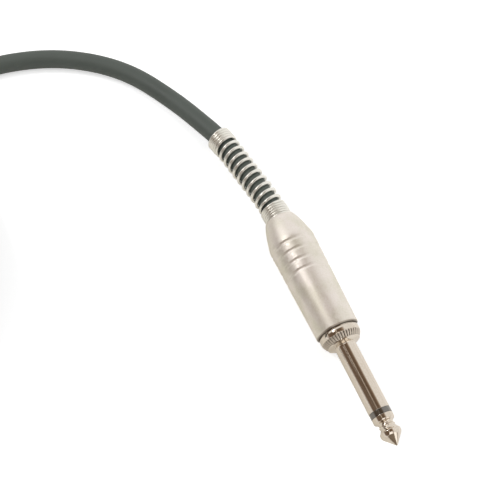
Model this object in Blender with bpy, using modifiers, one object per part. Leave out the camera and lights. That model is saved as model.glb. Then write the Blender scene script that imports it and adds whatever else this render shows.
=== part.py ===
"""An instrument cable with a 6.35 mm two-pole phone plug on each end, its spare length coiled and tied.

Lengths are metres, +Z is up and the cable lies on the plane z = 0. The near plug lies along +X, with its tip
towards +X. The origin is under the middle of that plug, on the plane that it lies on.
"""

import math

import bmesh
import bpy
import numpy as np
from mathutils import Matrix, Vector, kdtree

# ---------------------------------------------------------------------------------------------------------
# Driving dimensions. Along a plug, 0 is the front face of its flange and + points to its tip.
# ---------------------------------------------------------------------------------------------------------
CLEARANCE = 0.0003  # gap between neighbouring pieces

# Contacts
SHAFT_DIAMETER = 0.00635
SLEEVE_LENGTH = 0.0209  # flange face to the insulating ring
RING_LENGTH = 0.0016
TIP_LENGTH = 0.0090
TIP_DIAMETER = 0.0062
TIP_WAIST_DIAMETER = 0.0046
TIP_WAIST_LENGTH = 0.0034
TIP_CROWN_RADIUS = 0.0006  # rounding between the tip's widest part and its cone
TIP_CONE_HALF_ANGLE = math.radians(35)
TIP_NOSE_RADIUS = 0.00045
ROD_DIAMETER = 0.0020
ROD_HEAD_DIAMETER = 0.0034
ROD_HEAD_LENGTH = 0.0008
INSULATING_WALL = 0.0008

# Flange and threaded hub
FLANGE_DIAMETER = 0.0121
FLANGE_LENGTH = 0.0043
FLANGE_FACE_DIAMETER = 0.0079
TOOTH_COUNT = 42
TOOTH_DEPTH = 0.00028
TOOTH_BAND_START = 0.0009  # behind the flange's front face
TOOTH_BAND_END = 0.0028
HUB_DIAMETER = 0.0098
HUB_LENGTH = 0.0067

# Terminals, washer and clamp
CLAMP_THICKNESS = 0.0008
CLAMP_DISC_DIAMETER = 0.0084
CLAMP_TONGUE_WIDTH = 0.0032
CLAMP_SADDLE_LENGTH = 0.0040
CLAMP_SADDLE_GAP = 0.0026  # between the two crimped wings
WASHER_DIAMETER = 0.0086
WASHER_THICKNESS = 0.0010
TIP_LUG_THICKNESS = 0.0007
TIP_LUG_DISC_DIAMETER = 0.0056
TIP_LUG_TONGUE_WIDTH = 0.0024
TIP_LUG_TONGUE_LENGTH = 0.0066
TIP_LUG_HOLE_DIAMETER = 0.0010
SOLDER_DIAMETER = 0.0019
SOLDER_HEIGHT = 0.0009

# Liner
LINER_BORE = 0.0100
LINER_WALL = 0.00045
LINER_SLOT = 0.0012

# Barrel
GROOVE_TO_FLANGE = 0.0004  # the narrow dark ring between flange and barrel
BARREL_LENGTH = 0.0393
BARREL_FRONT_DIAMETER = 0.0130
BARREL_REAR_DIAMETER = 0.0144
BARREL_FRONT_EDGE = 0.0003
BARREL_FRONT_BORE_LENGTH = 0.0071
SHOULDER_LENGTH = 0.0084  # the taper from the widest part to the mouth
SHOULDER_BREAK_LENGTH = 0.0030  # its steeper last stretch
SHOULDER_BREAK_DIAMETER = 0.0118
MOUTH_LAND = 0.0034  # length of the narrow bore at the mouth
MOUTH_WALL = 0.0003
MOUTH_EDGE = 0.0004
RIB_GROOVE_COUNT = 4
RIB_GROOVE_PITCH = 0.00323
RIB_GROOVE_WIDTH = 0.0011
RIB_GROOVE_SLOPE = 0.0002  # width of each of its two sloping sides
RIB_GROOVE_DEPTH = 0.00022
RIB_GROOVE_TO_SHOULDER = 0.0015

# Spring
SPRING_WIRE = 0.0009
SPRING_PLAY = 0.00035  # between the jacket and the inside of the spring
SPRING_LENGTH = 0.0369  # outside the barrel, along the cable
SPRING_SEAT_STEP = 0.0005  # how far the first curl is wider than the others, which keeps it in the barrel
SPRING_HIDDEN_TURNS = 2
SPRING_NEAR_CLOSED_TURNS = 4
SPRING_OPEN_TURNS = 10
SPRING_FAR_CLOSED_TURNS = 3
SPRING_CLOSED_PITCH = 0.00145
CURL_POINTS = 9  # along one curl

# Cable
CABLE_DIAMETER = 0.0060
CABLE_LENGTH = 3.0  # from one stripped end to the other
CABLE_UNCOILED_LENGTH = 0.368  # the share of it that lies outside the coil
JACKET_START = 0.0270  # behind the flange's front face
JACKET_PAST_SPRING = 0.0020
CORE_DIAMETER = 0.0022
CORE_STRAND_DIAMETER = 0.0009
SHIELD_DIAMETER = 0.0014

# Coil and tie
COIL_CENTRE = Vector((-0.0775, -0.1330, 0.0))
COIL_PITCH = 0.0065  # from turn to turn and from layer to layer
COIL_LAYERS = 4
COIL_START = math.radians(200)  # where the cable joins the lowest layer's outer turn
COIL_END = math.radians(90)  # where it leaves the top layer's outer turn
COIL_WHOLE_TURNS = 13  # counted from 0 degrees before the start to 0 degrees before the end
LOOP_POINTS = 24
TIE_ANGLE = math.radians(35)
TIE_WIDTH = 0.0120
TIE_THICKNESS = 0.0010
TIE_CORNER = 0.0030

# How the far plug lies on the coil
FAR_HEADING = math.radians(12)
FAR_MOUTH = (-0.0728, -0.1559)

# Facets round each kind of solid
BARREL_SIDES = 32
CONTACT_SIDES = 24
SMALL_SIDES = 16

# ---------------------------------------------------------------------------------------------------------
# Sizes that follow from them
# ---------------------------------------------------------------------------------------------------------
SHAFT_RADIUS = SHAFT_DIAMETER / 2
TIP_RADIUS = TIP_DIAMETER / 2
ROD_RADIUS = ROD_DIAMETER / 2
INSULATION_BORE = ROD_RADIUS + CLEARANCE
INSULATION_RADIUS = INSULATION_BORE + INSULATING_WALL
SLEEVE_BORE = INSULATION_RADIUS + CLEARANCE
HUB_RADIUS = HUB_DIAMETER / 2
LINER_RADIUS = LINER_BORE / 2 + LINER_WALL
JACKET_RADIUS = CABLE_DIAMETER / 2

RING_FRONT = SLEEVE_LENGTH + RING_LENGTH
TIP_FRONT = RING_FRONT + TIP_LENGTH
HUB_BACK = -FLANGE_LENGTH - HUB_LENGTH
CLAMP_FRONT = HUB_BACK - CLEARANCE
CLAMP_BACK = CLAMP_FRONT - CLAMP_THICKNESS
WASHER_FRONT = CLAMP_BACK - CLEARANCE
WASHER_BACK = WASHER_FRONT - WASHER_THICKNESS
TIP_LUG_FRONT = WASHER_BACK - CLEARANCE
TIP_LUG_BACK = TIP_LUG_FRONT - TIP_LUG_THICKNESS
ROD_HEAD_FRONT = TIP_LUG_BACK - CLEARANCE
ROD_BACK = ROD_HEAD_FRONT - ROD_HEAD_LENGTH

BARREL_FRONT = -FLANGE_LENGTH - GROOVE_TO_FLANGE
BARREL_BACK = BARREL_FRONT - BARREL_LENGTH
BARREL_STEP = BARREL_FRONT - BARREL_FRONT_BORE_LENGTH
SHOULDER_FRONT = BARREL_BACK + SHOULDER_LENGTH
LINER_FRONT = BARREL_STEP - CLEARANCE
LINER_BACK = SHOULDER_FRONT + CLEARANCE
BARREL_RADIUS = BARREL_REAR_DIAMETER / 2

SPRING_RADIUS = JACKET_RADIUS + SPRING_PLAY + SPRING_WIRE / 2  # to the middle of the wire
SPRING_SEAT_RADIUS = SPRING_RADIUS + SPRING_SEAT_STEP
SEAT_BORE = SPRING_SEAT_RADIUS + SPRING_WIRE / 2 + CLEARANCE
MOUTH_BORE = SPRING_RADIUS + SPRING_WIRE / 2 + CLEARANCE
SEAT_FLOOR = BARREL_BACK + MOUTH_LAND
SPRING_SEAT = SEAT_FLOOR + CLEARANCE + 1.7 * SPRING_WIRE

JACKET_FRONT = -JACKET_START
CLAMP_TONGUE_OUTSIDE = math.sqrt((LINER_BORE / 2 - CLEARANCE) ** 2 - (CLAMP_TONGUE_WIDTH / 2) ** 2)
CLAMP_TONGUE_INSIDE = CLAMP_TONGUE_OUTSIDE - CLAMP_THICKNESS
SADDLE_BORE = JACKET_RADIUS + CLEARANCE
SADDLE_FRONT = JACKET_FRONT - CLEARANCE - CABLE_DIAMETER / 4
SADDLE_BACK = SADDLE_FRONT - CLAMP_SADDLE_LENGTH
TIP_LUG_TONGUE_INSIDE = TIP_LUG_DISC_DIAMETER / 2 - TIP_LUG_THICKNESS / 2
TIP_LUG_TONGUE_END = TIP_LUG_BACK - TIP_LUG_TONGUE_LENGTH
SOLDER_ALONG = ROD_BACK - CLEARANCE - SOLDER_DIAMETER / 2

COIL_TURNS = COIL_WHOLE_TURNS + (COIL_END - COIL_START) / math.tau
COIL_MID_RADIUS = (CABLE_LENGTH - CABLE_UNCOILED_LENGTH) / (math.tau * COIL_TURNS)
COIL_LAYER_TURNS = COIL_TURNS / COIL_LAYERS
COIL_OUTER_RADIUS = COIL_MID_RADIUS + COIL_LAYER_TURNS * COIL_PITCH / 2
COIL_BASE = TIE_THICKNESS + CLEARANCE + JACKET_RADIUS
COIL_TOP = COIL_BASE + (COIL_LAYERS - 1) * COIL_PITCH + JACKET_RADIUS

# The near plug's own middle is over the origin, and its thickest part touches z = 0.
NEAR_PLACE = Vector((-(TIP_FRONT + BARREL_BACK) / 2, 0.0, BARREL_RADIUS))
FAR_DIRECTION = Vector((math.cos(FAR_HEADING), math.sin(FAR_HEADING), 0.0))
FAR_HEIGHT = COIL_TOP + CLEARANCE + BARREL_RADIUS
FAR_PLACE = Vector((*FAR_MOUTH, FAR_HEIGHT)) - BARREL_BACK * FAR_DIRECTION

# The cable's own route beyond each plug, chosen by hand, as (x, y, height). The first lies on z = 0 and
# the second's heights are above the top of the coil.
NEAR_ROUTE = (
    (-0.0445, -0.0003, 0.0070),
    (-0.0575, -0.0020, 0.0062),
    (-0.0704, -0.0039, 0.0051),
    (-0.0760, -0.0052, 0.0046),
    (-0.0813, -0.0070, 0.0041),
    (-0.0868, -0.0090, 0.0036),
    (-0.0922, -0.0112, 0.0032),
    (-0.0974, -0.0137, 0.0030),
    (-0.1024, -0.0164, 0.0030),
    (-0.1072, -0.0194, 0.0030),
    (-0.1135, -0.0246, 0.0030),
    (-0.1202, -0.0325, 0.0030),
    (-0.1256, -0.0418, 0.0030),
    (-0.1292, -0.0520, 0.0030),
    (-0.1312, -0.0635, 0.0030),
    (-0.1316, -0.0770, 0.0030),
    (-0.1308, -0.0950, 0.0032),
    (-0.1284, -0.1130, 0.0036),
    (-0.1250, -0.1285, 0.0041),
)
FAR_ROUTE = (
    (-0.0993, -0.0920, -0.0018),
    (-0.1086, -0.0992, 0.0006),
    (-0.1163, -0.1098, 0.0028),
    (-0.1203, -0.1205, 0.0039),
    (-0.1210, -0.1300, 0.0043),
    (-0.1183, -0.1390, 0.0045),
    (-0.1129, -0.1461, 0.0048),
    (-0.1083, -0.1497, 0.0051),
    (-0.0993, -0.1541, 0.0058),
    (-0.0862, -0.1569, 0.0069),
)

# ---------------------------------------------------------------------------------------------------------
# Scene, collections and materials
# ---------------------------------------------------------------------------------------------------------
for old in list(bpy.data.objects):
    bpy.data.objects.remove(old, do_unlink=True)

parts = bpy.data.collections.new("instrument_cable")
cutters = bpy.data.collections.new("cutters")
for collection in (parts, cutters):
    bpy.context.scene.collection.children.link(collection)


def finish(name, colour, roughness, metallic):
    """A Principled material; colour is linear red, green and blue."""
    material = bpy.data.materials.new(name)
    material.use_nodes = True
    shader = material.node_tree.nodes["Principled BSDF"]
    shader.inputs["Base Color"].default_value = (*colour, 1.0)
    shader.inputs["Roughness"].default_value = roughness
    shader.inputs["Metallic"].default_value = metallic
    return material


POLISHED_NICKEL = finish("polished_nickel", (0.66, 0.61, 0.54), 0.12, 1.0)
SATIN_NICKEL = finish("satin_nickel", (0.68, 0.64, 0.57), 0.42, 1.0)
SPRING_STEEL = finish("bright_spring_wire", (0.70, 0.67, 0.61), 0.20, 1.0)
BLACK_PLASTIC = finish("black_insulator", (0.04, 0.04, 0.035), 0.45, 0.0)
FIBRE = finish("red_fibre", (0.24, 0.06, 0.03), 0.80, 0.0)
TINNED_BRASS = finish("tinned_brass", (0.55, 0.52, 0.46), 0.35, 1.0)
LINER_PLASTIC = finish("black_liner", (0.02, 0.02, 0.02), 0.35, 0.0)
JACKET_PVC = finish("green_grey_pvc", (0.075, 0.090, 0.082), 0.55, 0.0)
CORE_PLASTIC = finish("white_polyethylene", (0.75, 0.74, 0.68), 0.40, 0.0)
COPPER = finish("bare_copper", (0.75, 0.33, 0.18), 0.30, 1.0)
SOLDER = finish("solder", (0.60, 0.60, 0.58), 0.25, 1.0)
TIE_NYLON = finish("black_nylon_tie", (0.02, 0.02, 0.02), 0.85, 0.0)


# ---------------------------------------------------------------------------------------------------------
# Shapes
# ---------------------------------------------------------------------------------------------------------
def arc(centre, radius, start, end, count):
    """Points on an arc in the (across, along) plane, with angles in degrees from the across direction."""
    angles = np.radians(np.linspace(start, end, count))
    return [(centre[0] + radius * math.cos(a), centre[1] + radius * math.sin(a)) for a in angles]


def place(name, data, material, parent, collection=None):
    """A new object for a mesh or a curve, carried by parent."""
    thing = bpy.data.objects.new(name, data)
    (collection or parts).objects.link(thing)
    thing.parent = parent
    if material:
        data.materials.append(material)
    return thing


def turned(name, outline, material, parent, sides, collection=None):
    """A solid turned about the plug's axis. The outline runs front to back down its outside, and a tube's
    comes back up its bore; one that starts and ends on the axis is left open there."""
    ring = outline[0][0] > 0
    points = [(across, 0.0, along) for across, along in outline]
    edges = [(i, i + 1) for i in range(len(points) - 1)] + [(len(points) - 1, 0)] * ring
    mesh = bpy.data.meshes.new(name)
    mesh.from_pydata(points, edges, [])
    thing = place(name, mesh, material, parent, collection)
    spin = thing.modifiers.new("turn", "SCREW")
    spin.steps = spin.render_steps = sides
    spin.use_merge_vertices = True
    spin.merge_threshold = 0.00001
    return thing


def tube(name, points, diameter, material, parent=None, resolution=2):
    """A round wire or cable along points, with closed ends."""
    curve = bpy.data.curves.new(name, "CURVE")
    curve.dimensions = "3D"
    curve.bevel_depth = diameter / 2
    curve.bevel_resolution = resolution
    curve.use_fill_caps = True
    spline = curve.splines.new("POLY")
    spline.points.add(len(points) - 1)
    for knot, point in zip(spline.points, points):
        knot.co = (*point, 1.0)
    return place(name, curve, material, parent)


def stamped(name, outlines, thickness, matrix, material, parent, collection=None):
    """A flat plate cut to closed outlines, the first outside and the others holes, centred on its plane."""
    curve = bpy.data.curves.new(name, "CURVE")
    curve.dimensions = "2D"
    curve.fill_mode = "BOTH"
    curve.extrude = thickness / 2
    for outline in outlines:
        spline = curve.splines.new("POLY")
        spline.points.add(len(outline) - 1)
        spline.use_cyclic_u = True
        for knot, (x, y) in zip(spline.points, outline):
            knot.co = (x, y, 0.0, 1.0)
    flat = bpy.data.objects.new(name + "_outline", curve)
    bpy.context.scene.collection.objects.link(flat)
    mesh = bpy.data.meshes.new_from_object(flat.evaluated_get(bpy.context.evaluated_depsgraph_get()))
    bpy.data.objects.remove(flat)
    bm = bmesh.new()
    bm.from_mesh(mesh)
    bmesh.ops.remove_doubles(bm, verts=bm.verts, dist=0.000001)
    bmesh.ops.transform(bm, matrix=matrix, verts=bm.verts)
    bmesh.ops.recalc_face_normals(bm, faces=bm.faces)
    bm.to_mesh(mesh)
    bm.free()
    mesh.name = name
    return place(name, mesh, material, parent, collection)


def block(name, low, high, parent):
    """A box between two corners, in the cutters' collection."""
    bm = bmesh.new()
    bmesh.ops.create_cube(bm, size=1.0)
    middle = (Vector(low) + Vector(high)) / 2
    size = Vector(high) - Vector(low)
    bmesh.ops.transform(bm, matrix=Matrix.LocRotScale(middle, None, size), verts=bm.verts)
    mesh = bpy.data.meshes.new(name)
    bm.to_mesh(mesh)
    bm.free()
    return place(name, mesh, None, parent, cutters)


def combine(thing, other, operation):
    """Joins other to thing, or cuts it away; other is only a guide from then on."""
    other.hide_render = True
    other.display_type = "WIRE"
    change = thing.modifiers.new(operation.lower(), "BOOLEAN")
    change.operation = operation
    change.object = other
    change.solver = "EXACT"


def smooth_route(points):
    """A curve with even bending through points: a cubic spline over the distance between them. Returns a
    function from a distance along it to a place, and its length."""
    knots = np.array([tuple(p) for p in points])
    chords = np.linalg.norm(np.diff(knots, axis=0), axis=1)
    along = np.concatenate([[0.0], np.cumsum(chords)])
    count = len(knots)
    system = np.zeros((count, count))
    wanted = np.zeros((count, 3))
    system[0, 0] = system[-1, -1] = 1.0
    for i in range(1, count - 1):
        system[i, i - 1 : i + 2] = chords[i - 1], 2 * (chords[i - 1] + chords[i]), chords[i]
        steps = np.diff(knots[i - 1 : i + 2], axis=0) / chords[i - 1 : i + 1, None]
        wanted[i] = 6 * (steps[1] - steps[0])
    bends = np.linalg.solve(system, wanted)
    at = np.linspace(0.0, along[-1], 40 * count)
    span = np.clip(np.searchsorted(along, at, side="right") - 1, 0, count - 2)
    h = chords[span][:, None]
    before = (at - along[span])[:, None]
    after = h - before
    fine = (
        (bends[span] * after**3 + bends[span + 1] * before**3) / (6 * h)
        + (knots[span] / h - bends[span] * h / 6) * after
        + (knots[span + 1] / h - bends[span + 1] * h / 6) * before
    )
    travelled = np.concatenate([[0.0], np.cumsum(np.linalg.norm(np.diff(fine, axis=0), axis=1))])

    def at_distance(distance):
        return Vector([np.interp(distance, travelled, fine[:, axis]) for axis in range(3)])

    return at_distance, float(travelled[-1])


def direction(route, distance, reach=0.0002):
    """Which way a route runs there."""
    return (route(distance + reach) - route(distance - reach)).normalized()


def stretch(route, start, end, step):
    """Points along a route from start to end, about step apart, with a short straight lead at each end."""
    lead = CABLE_DIAMETER / 2
    count = max(2, round((end - start - 4 * lead) / step) + 1)
    inner = [route(distance) for distance in np.linspace(start + 2 * lead, end - 2 * lead, count)]
    first, last = route(start), route(end)
    first_lead = first + lead * direction(route, start + 0.001)
    last_lead = last - lead * direction(route, end - 0.001)
    return [first, first_lead] + inner + [last_lead, last]


def least_gap(name, points, diameter, turn_points):
    """Measures and prints the least gap between a wound tube's surface and its own other turns."""
    fine = [points[i].lerp(points[i + 1], k / 4) for i in range(len(points) - 1) for k in range(4)]
    tree = kdtree.KDTree(len(fine))
    for index, point in enumerate(fine):
        tree.insert(point, index)
    tree.balance()
    apart = 2 * turn_points  # half a turn, in fine points
    reach = 2.2 * diameter
    near = [
        found[2]
        for index, point in enumerate(fine)
        for found in tree.find_range(point, reach)
        if abs(found[1] - index) > apart
    ]
    print(f"{name}: least gap to itself {(min(near, default=reach) - diameter) * 1000:.2f} mm")


# ---------------------------------------------------------------------------------------------------------
# Plug pieces. Each takes the plug's name and the empty that carries it.
# ---------------------------------------------------------------------------------------------------------
def tip(name, plug):
    """The tip contact, with the rod that runs back through the sleeve and is peened over the tip lug."""
    slope = TIP_CONE_HALF_ANGLE
    nose = arc((0.0, TIP_FRONT - TIP_NOSE_RADIUS), TIP_NOSE_RADIUS, 90, math.degrees(slope), 3)
    crown_across = TIP_RADIUS - TIP_CROWN_RADIUS
    cone_end_across = crown_across + TIP_CROWN_RADIUS * math.cos(slope)
    cone_end = nose[-1][1] - (cone_end_across - nose[-1][0]) / math.tan(slope)
    crown = (crown_across, cone_end - TIP_CROWN_RADIUS * math.sin(slope))
    outline = [(0.0, TIP_FRONT)] + nose[1:] + arc(crown, TIP_CROWN_RADIUS, math.degrees(slope), 0, 3)
    waist_depth = TIP_RADIUS - TIP_WAIST_DIAMETER / 2
    for share in np.linspace(0, 1, 9)[1:]:
        across = TIP_RADIUS - waist_depth * (1 - math.cos(math.tau * share)) / 2
        outline.append((across, crown[1] - TIP_WAIST_LENGTH * share))
    rear = RING_FRONT + CLEARANCE / 2
    outline += [(TIP_RADIUS, rear), (ROD_RADIUS, rear)]
    head = ROD_HEAD_DIAMETER / 2
    outline += [(ROD_RADIUS, ROD_HEAD_FRONT), (head, ROD_HEAD_FRONT), (head, ROD_BACK + ROD_HEAD_LENGTH / 2)]
    outline += [(ROD_RADIUS, ROD_BACK), (0.0, ROD_BACK)]
    return turned(f"{name}_tip", outline, POLISHED_NICKEL, plug, CONTACT_SIDES)


def insulator(name, plug):
    """The dark ring behind the tip, in one moulding with the tube that lines the sleeve."""
    front, back = RING_FRONT - CLEARANCE / 2, SLEEVE_LENGTH + CLEARANCE / 2
    outline = [(INSULATION_BORE, front), (SHAFT_RADIUS, front), (SHAFT_RADIUS, back)]
    outline += [(INSULATION_RADIUS, back), (INSULATION_RADIUS, CLAMP_BACK), (INSULATION_BORE, CLAMP_BACK)]
    return turned(f"{name}_insulator", outline, BLACK_PLASTIC, plug, CONTACT_SIDES)


def toothed_flange(name, plug):
    """The domed flange, with a band of teeth for the fingers to hold while the barrel turns."""
    radius, face = FLANGE_DIAMETER / 2, FLANGE_FACE_DIAMETER / 2
    inside = (SLEEVE_BORE + SHAFT_RADIUS) / 2
    dome = TOOTH_BAND_END
    outline = [(inside, 0.0), (face, 0.0)]
    for share in (TOOTH_BAND_START / dome, 1.0):
        across = face + (radius - face) * math.sqrt(1 - (1 - share) ** 2) * 0.98
        outline.append((across, -dome * share))
    outline += [(radius, -dome - 0.1 * FLANGE_LENGTH), (radius, -FLANGE_LENGTH), (inside, -FLANGE_LENGTH)]
    bm = bmesh.new()
    ring = [bm.verts.new((across, 0.0, along)) for across, along in outline]
    loop = [bm.edges.new((ring[i - 1], ring[i])) for i in range(len(ring))]
    bmesh.ops.spin(
        bm,
        geom=ring + loop,
        axis=(0, 0, 1),
        cent=(0, 0, 0),
        angle=math.tau,
        steps=2 * TOOTH_COUNT,
        use_merge=True,
    )
    half_tooth = math.pi / TOOTH_COUNT
    for vert in bm.verts:
        around = round(math.atan2(vert.co.y, vert.co.x) / half_tooth)
        if around % 2 and -TOOTH_BAND_END - 0.0001 < vert.co.z < -TOOTH_BAND_START + 0.0001:
            vert.co.xy *= 1 - TOOTH_DEPTH / vert.co.xy.length
    bmesh.ops.recalc_face_normals(bm, faces=bm.faces)
    mesh = bpy.data.meshes.new(f"{name}_flange")
    bm.to_mesh(mesh)
    bm.free()
    return place(f"{name}_flange", mesh, None, plug, cutters)


def sleeve(name, plug):
    """The sleeve contact: shaft, toothed flange and the hub that the barrel screws on to."""
    edge = 0.5 * CLEARANCE
    front, middle = SLEEVE_LENGTH - CLEARANCE / 2, -FLANGE_LENGTH / 2
    outline = [(SLEEVE_BORE, front), (SHAFT_RADIUS - edge, front), (SHAFT_RADIUS, front - edge)]
    outline += [(SHAFT_RADIUS, middle), (HUB_RADIUS, middle), (HUB_RADIUS, HUB_BACK + 2 * edge)]
    outline += [(HUB_RADIUS - 2 * edge, HUB_BACK), (SLEEVE_BORE, HUB_BACK)]
    body = turned(f"{name}_sleeve", outline, POLISHED_NICKEL, plug, CONTACT_SIDES)
    combine(body, toothed_flange(name, plug), "UNION")
    return body


def cable_clamp(name, plug):
    """The sleeve's solder tag: a disc behind the hub, a long tongue, and a saddle round the jacket."""
    hole = INSULATION_RADIUS + CLEARANCE
    disc = CLAMP_DISC_DIAMETER / 2
    outline = [(hole, CLAMP_FRONT), (disc, CLAMP_FRONT), (disc, CLAMP_BACK), (hole, CLAMP_BACK)]
    clamp = turned(f"{name}_cable_clamp", outline, TINNED_BRASS, plug, SMALL_SIDES)
    wide = CLAMP_TONGUE_WIDTH / 2
    tongue = block(
        f"{name}_clamp_tongue",
        (-CLAMP_TONGUE_OUTSIDE, -wide, SADDLE_BACK),
        (-CLAMP_TONGUE_INSIDE, wide, CLAMP_FRONT),
        plug,
    )
    saddle_radius = SADDLE_BORE + CLAMP_THICKNESS
    outline = [(SADDLE_BORE, SADDLE_FRONT), (saddle_radius, SADDLE_FRONT)]
    outline += [(saddle_radius, SADDLE_BACK), (SADDLE_BORE, SADDLE_BACK)]
    saddle = turned(f"{name}_saddle", outline, None, plug, CONTACT_SIDES, cutters)
    opening = CLAMP_SADDLE_GAP / 2
    gap = block(
        f"{name}_saddle_gap",
        (SADDLE_BORE / 2, -opening, SADDLE_BACK - CLEARANCE),
        (LINER_RADIUS, opening, SADDLE_FRONT + CLEARANCE),
        plug,
    )
    combine(saddle, gap, "DIFFERENCE")
    combine(clamp, tongue, "UNION")
    combine(clamp, saddle, "UNION")
    return clamp


def washer(name, plug):
    """The fibre washer that keeps the tip lug off the clamp."""
    bore, rim = INSULATION_BORE, WASHER_DIAMETER / 2
    outline = [(bore, WASHER_FRONT), (rim, WASHER_FRONT), (rim, WASHER_BACK), (bore, WASHER_BACK)]
    body = turned(f"{name}_fibre_washer", outline, FIBRE, plug, SMALL_SIDES)
    relief = CLAMP_TONGUE_INSIDE - CLEARANCE
    flat = block(
        f"{name}_washer_flat",
        (-2 * rim, -rim, WASHER_BACK - CLEARANCE),
        (-relief, rim, WASHER_FRONT + CLEARANCE),
        plug,
    )
    combine(body, flat, "DIFFERENCE")
    return body


def tip_lug(name, plug):
    """The tip's solder tag: a disc under the peened rod, with a drilled tongue bent back along the plug."""
    disc = TIP_LUG_DISC_DIAMETER / 2
    outline = [(INSULATION_BORE, TIP_LUG_FRONT), (disc, TIP_LUG_FRONT)]
    outline += [(disc, TIP_LUG_BACK), (INSULATION_BORE, TIP_LUG_BACK)]
    lug = turned(f"{name}_tip_lug", outline, TINNED_BRASS, plug, SMALL_SIDES)
    half = TIP_LUG_TONGUE_WIDTH / 2
    end = TIP_LUG_TONGUE_END + half
    tongue_outline = [(half, TIP_LUG_FRONT), (-half, TIP_LUG_FRONT)] + arc((0.0, end), half, 180, 360, 9)
    hole = arc((0.0, end), TIP_LUG_HOLE_DIAMETER / 2, 0, 315, 8)
    middle = TIP_LUG_TONGUE_INSIDE + TIP_LUG_THICKNESS / 2
    facing_across = Matrix(((0, 0, 1, 0), (1, 0, 0, 0), (0, 1, 0, 0), (0, 0, 0, 1)))
    upright = Matrix.Translation((middle, 0, 0)) @ facing_across
    tongue = stamped(
        f"{name}_lug_tongue", [tongue_outline, hole], TIP_LUG_THICKNESS, upright, None, plug, cutters
    )
    combine(lug, tongue, "UNION")
    return lug


def liner(name, plug):
    """The insulating liner: a split plastic tube that keeps the barrel off the terminals."""
    bore = LINER_BORE / 2
    outline = [(bore, LINER_FRONT), (LINER_RADIUS, LINER_FRONT)]
    outline += [(LINER_RADIUS, LINER_BACK), (bore, LINER_BACK)]
    body = turned(f"{name}_liner", outline, LINER_PLASTIC, plug, BARREL_SIDES)
    slot = block(
        f"{name}_liner_slot",
        (-LINER_SLOT / 2, 0.0, LINER_BACK - CLEARANCE),
        (LINER_SLOT / 2, 2 * LINER_RADIUS, LINER_FRONT + CLEARANCE),
        plug,
    )
    combine(body, slot, "DIFFERENCE")
    return body


def barrel(name, plug):
    """The barrel: tapered tube with grip grooves, a shoulder down to its mouth, and a seat for the spring."""
    front, rear = BARREL_FRONT_DIAMETER / 2, BARREL_RADIUS

    def radius_at(along):
        return front + (rear - front) * (BARREL_FRONT - along) / (BARREL_FRONT - SHOULDER_FRONT)

    hub_bore, main_bore = HUB_RADIUS + CLEARANCE, LINER_RADIUS + CLEARANCE
    outline = [(hub_bore, BARREL_FRONT), (front - BARREL_FRONT_EDGE, BARREL_FRONT)]
    outline.append((front, BARREL_FRONT - BARREL_FRONT_EDGE))
    lip = RIB_GROOVE_WIDTH / 2
    floor = lip - RIB_GROOVE_SLOPE
    for number in reversed(range(RIB_GROOVE_COUNT)):
        middle = SHOULDER_FRONT + RIB_GROOVE_TO_SHOULDER + number * RIB_GROOVE_PITCH
        for offset, depth in ((lip, 0), (floor, RIB_GROOVE_DEPTH), (-floor, RIB_GROOVE_DEPTH), (-lip, 0)):
            outline.append((radius_at(middle + offset) - depth, middle + offset))
    outline.append((rear, SHOULDER_FRONT))
    outline.append((SHOULDER_BREAK_DIAMETER / 2, BARREL_BACK + SHOULDER_BREAK_LENGTH))
    rim = MOUTH_BORE + MOUTH_WALL
    outline += [(rim + MOUTH_EDGE / 2, BARREL_BACK + MOUTH_EDGE), (rim, BARREL_BACK)]
    outline += [(MOUTH_BORE, BARREL_BACK), (MOUTH_BORE, SEAT_FLOOR)]
    outline += [(SEAT_BORE, SEAT_FLOOR), (SEAT_BORE, SHOULDER_FRONT), (main_bore, SHOULDER_FRONT)]
    outline += [(main_bore, BARREL_STEP), (hub_bore, BARREL_STEP)]
    return turned(f"{name}_barrel", outline, SATIN_NICKEL, plug, BARREL_SIDES)


def wires(name, plug):
    """The cable's stripped end: the core to the tip lug, the pigtail to the clamp, and the solder."""
    start = JACKET_FRONT + CLEARANCE
    strand = TIP_LUG_TONGUE_INSIDE - CLEARANCE - CORE_STRAND_DIAMETER / 2
    bare = TIP_LUG_TONGUE_END - CLEARANCE - CORE_DIAMETER / 4
    core_side = 0.75 * strand
    run = bare - start
    core = [(0, 0, start), (0, 0, start + 0.35 * run), (0.4 * core_side, 0, start + 0.6 * run)]
    core.append((core_side, 0, bare))
    tube(f"{name}_core", core, CORE_DIAMETER, CORE_PLASTIC, plug, 1)
    solder_back = SOLDER_ALONG - SOLDER_DIAMETER / 2
    strands = [(core_side, 0, bare + CLEARANCE), (strand, 0, bare + 0.4 * (solder_back - bare))]
    strands.append((strand, 0, solder_back - CLEARANCE))
    tube(f"{name}_core_strands", strands, CORE_STRAND_DIAMETER, COPPER, plug, 1)
    side = CLAMP_TONGUE_INSIDE - CLEARANCE - SHIELD_DIAMETER / 2
    beside_core = CORE_DIAMETER / 2 + CLEARANCE + SHIELD_DIAMETER / 2
    shield_end = start + 0.6 * (bare - start)
    pigtail = [(-beside_core, 0, start), (-0.5 * (side + beside_core), 0, 0.5 * (start + shield_end))]
    pigtail.append((-side, 0, shield_end))
    tube(f"{name}_shield_pigtail", pigtail, SHIELD_DIAMETER, COPPER, plug, 1)
    shield_solder = shield_end + CLEARANCE + SOLDER_DIAMETER / 2 + SHIELD_DIAMETER / 4
    for kind, floor, facing, along in (
        ("tip_solder", TIP_LUG_TONGUE_INSIDE, -1, SOLDER_ALONG),
        ("shield_solder", -CLAMP_TONGUE_INSIDE, 1, shield_solder),
    ):
        solder_joint(f"{name}_{kind}", floor + facing * CLEARANCE, facing, along, plug)


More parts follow.
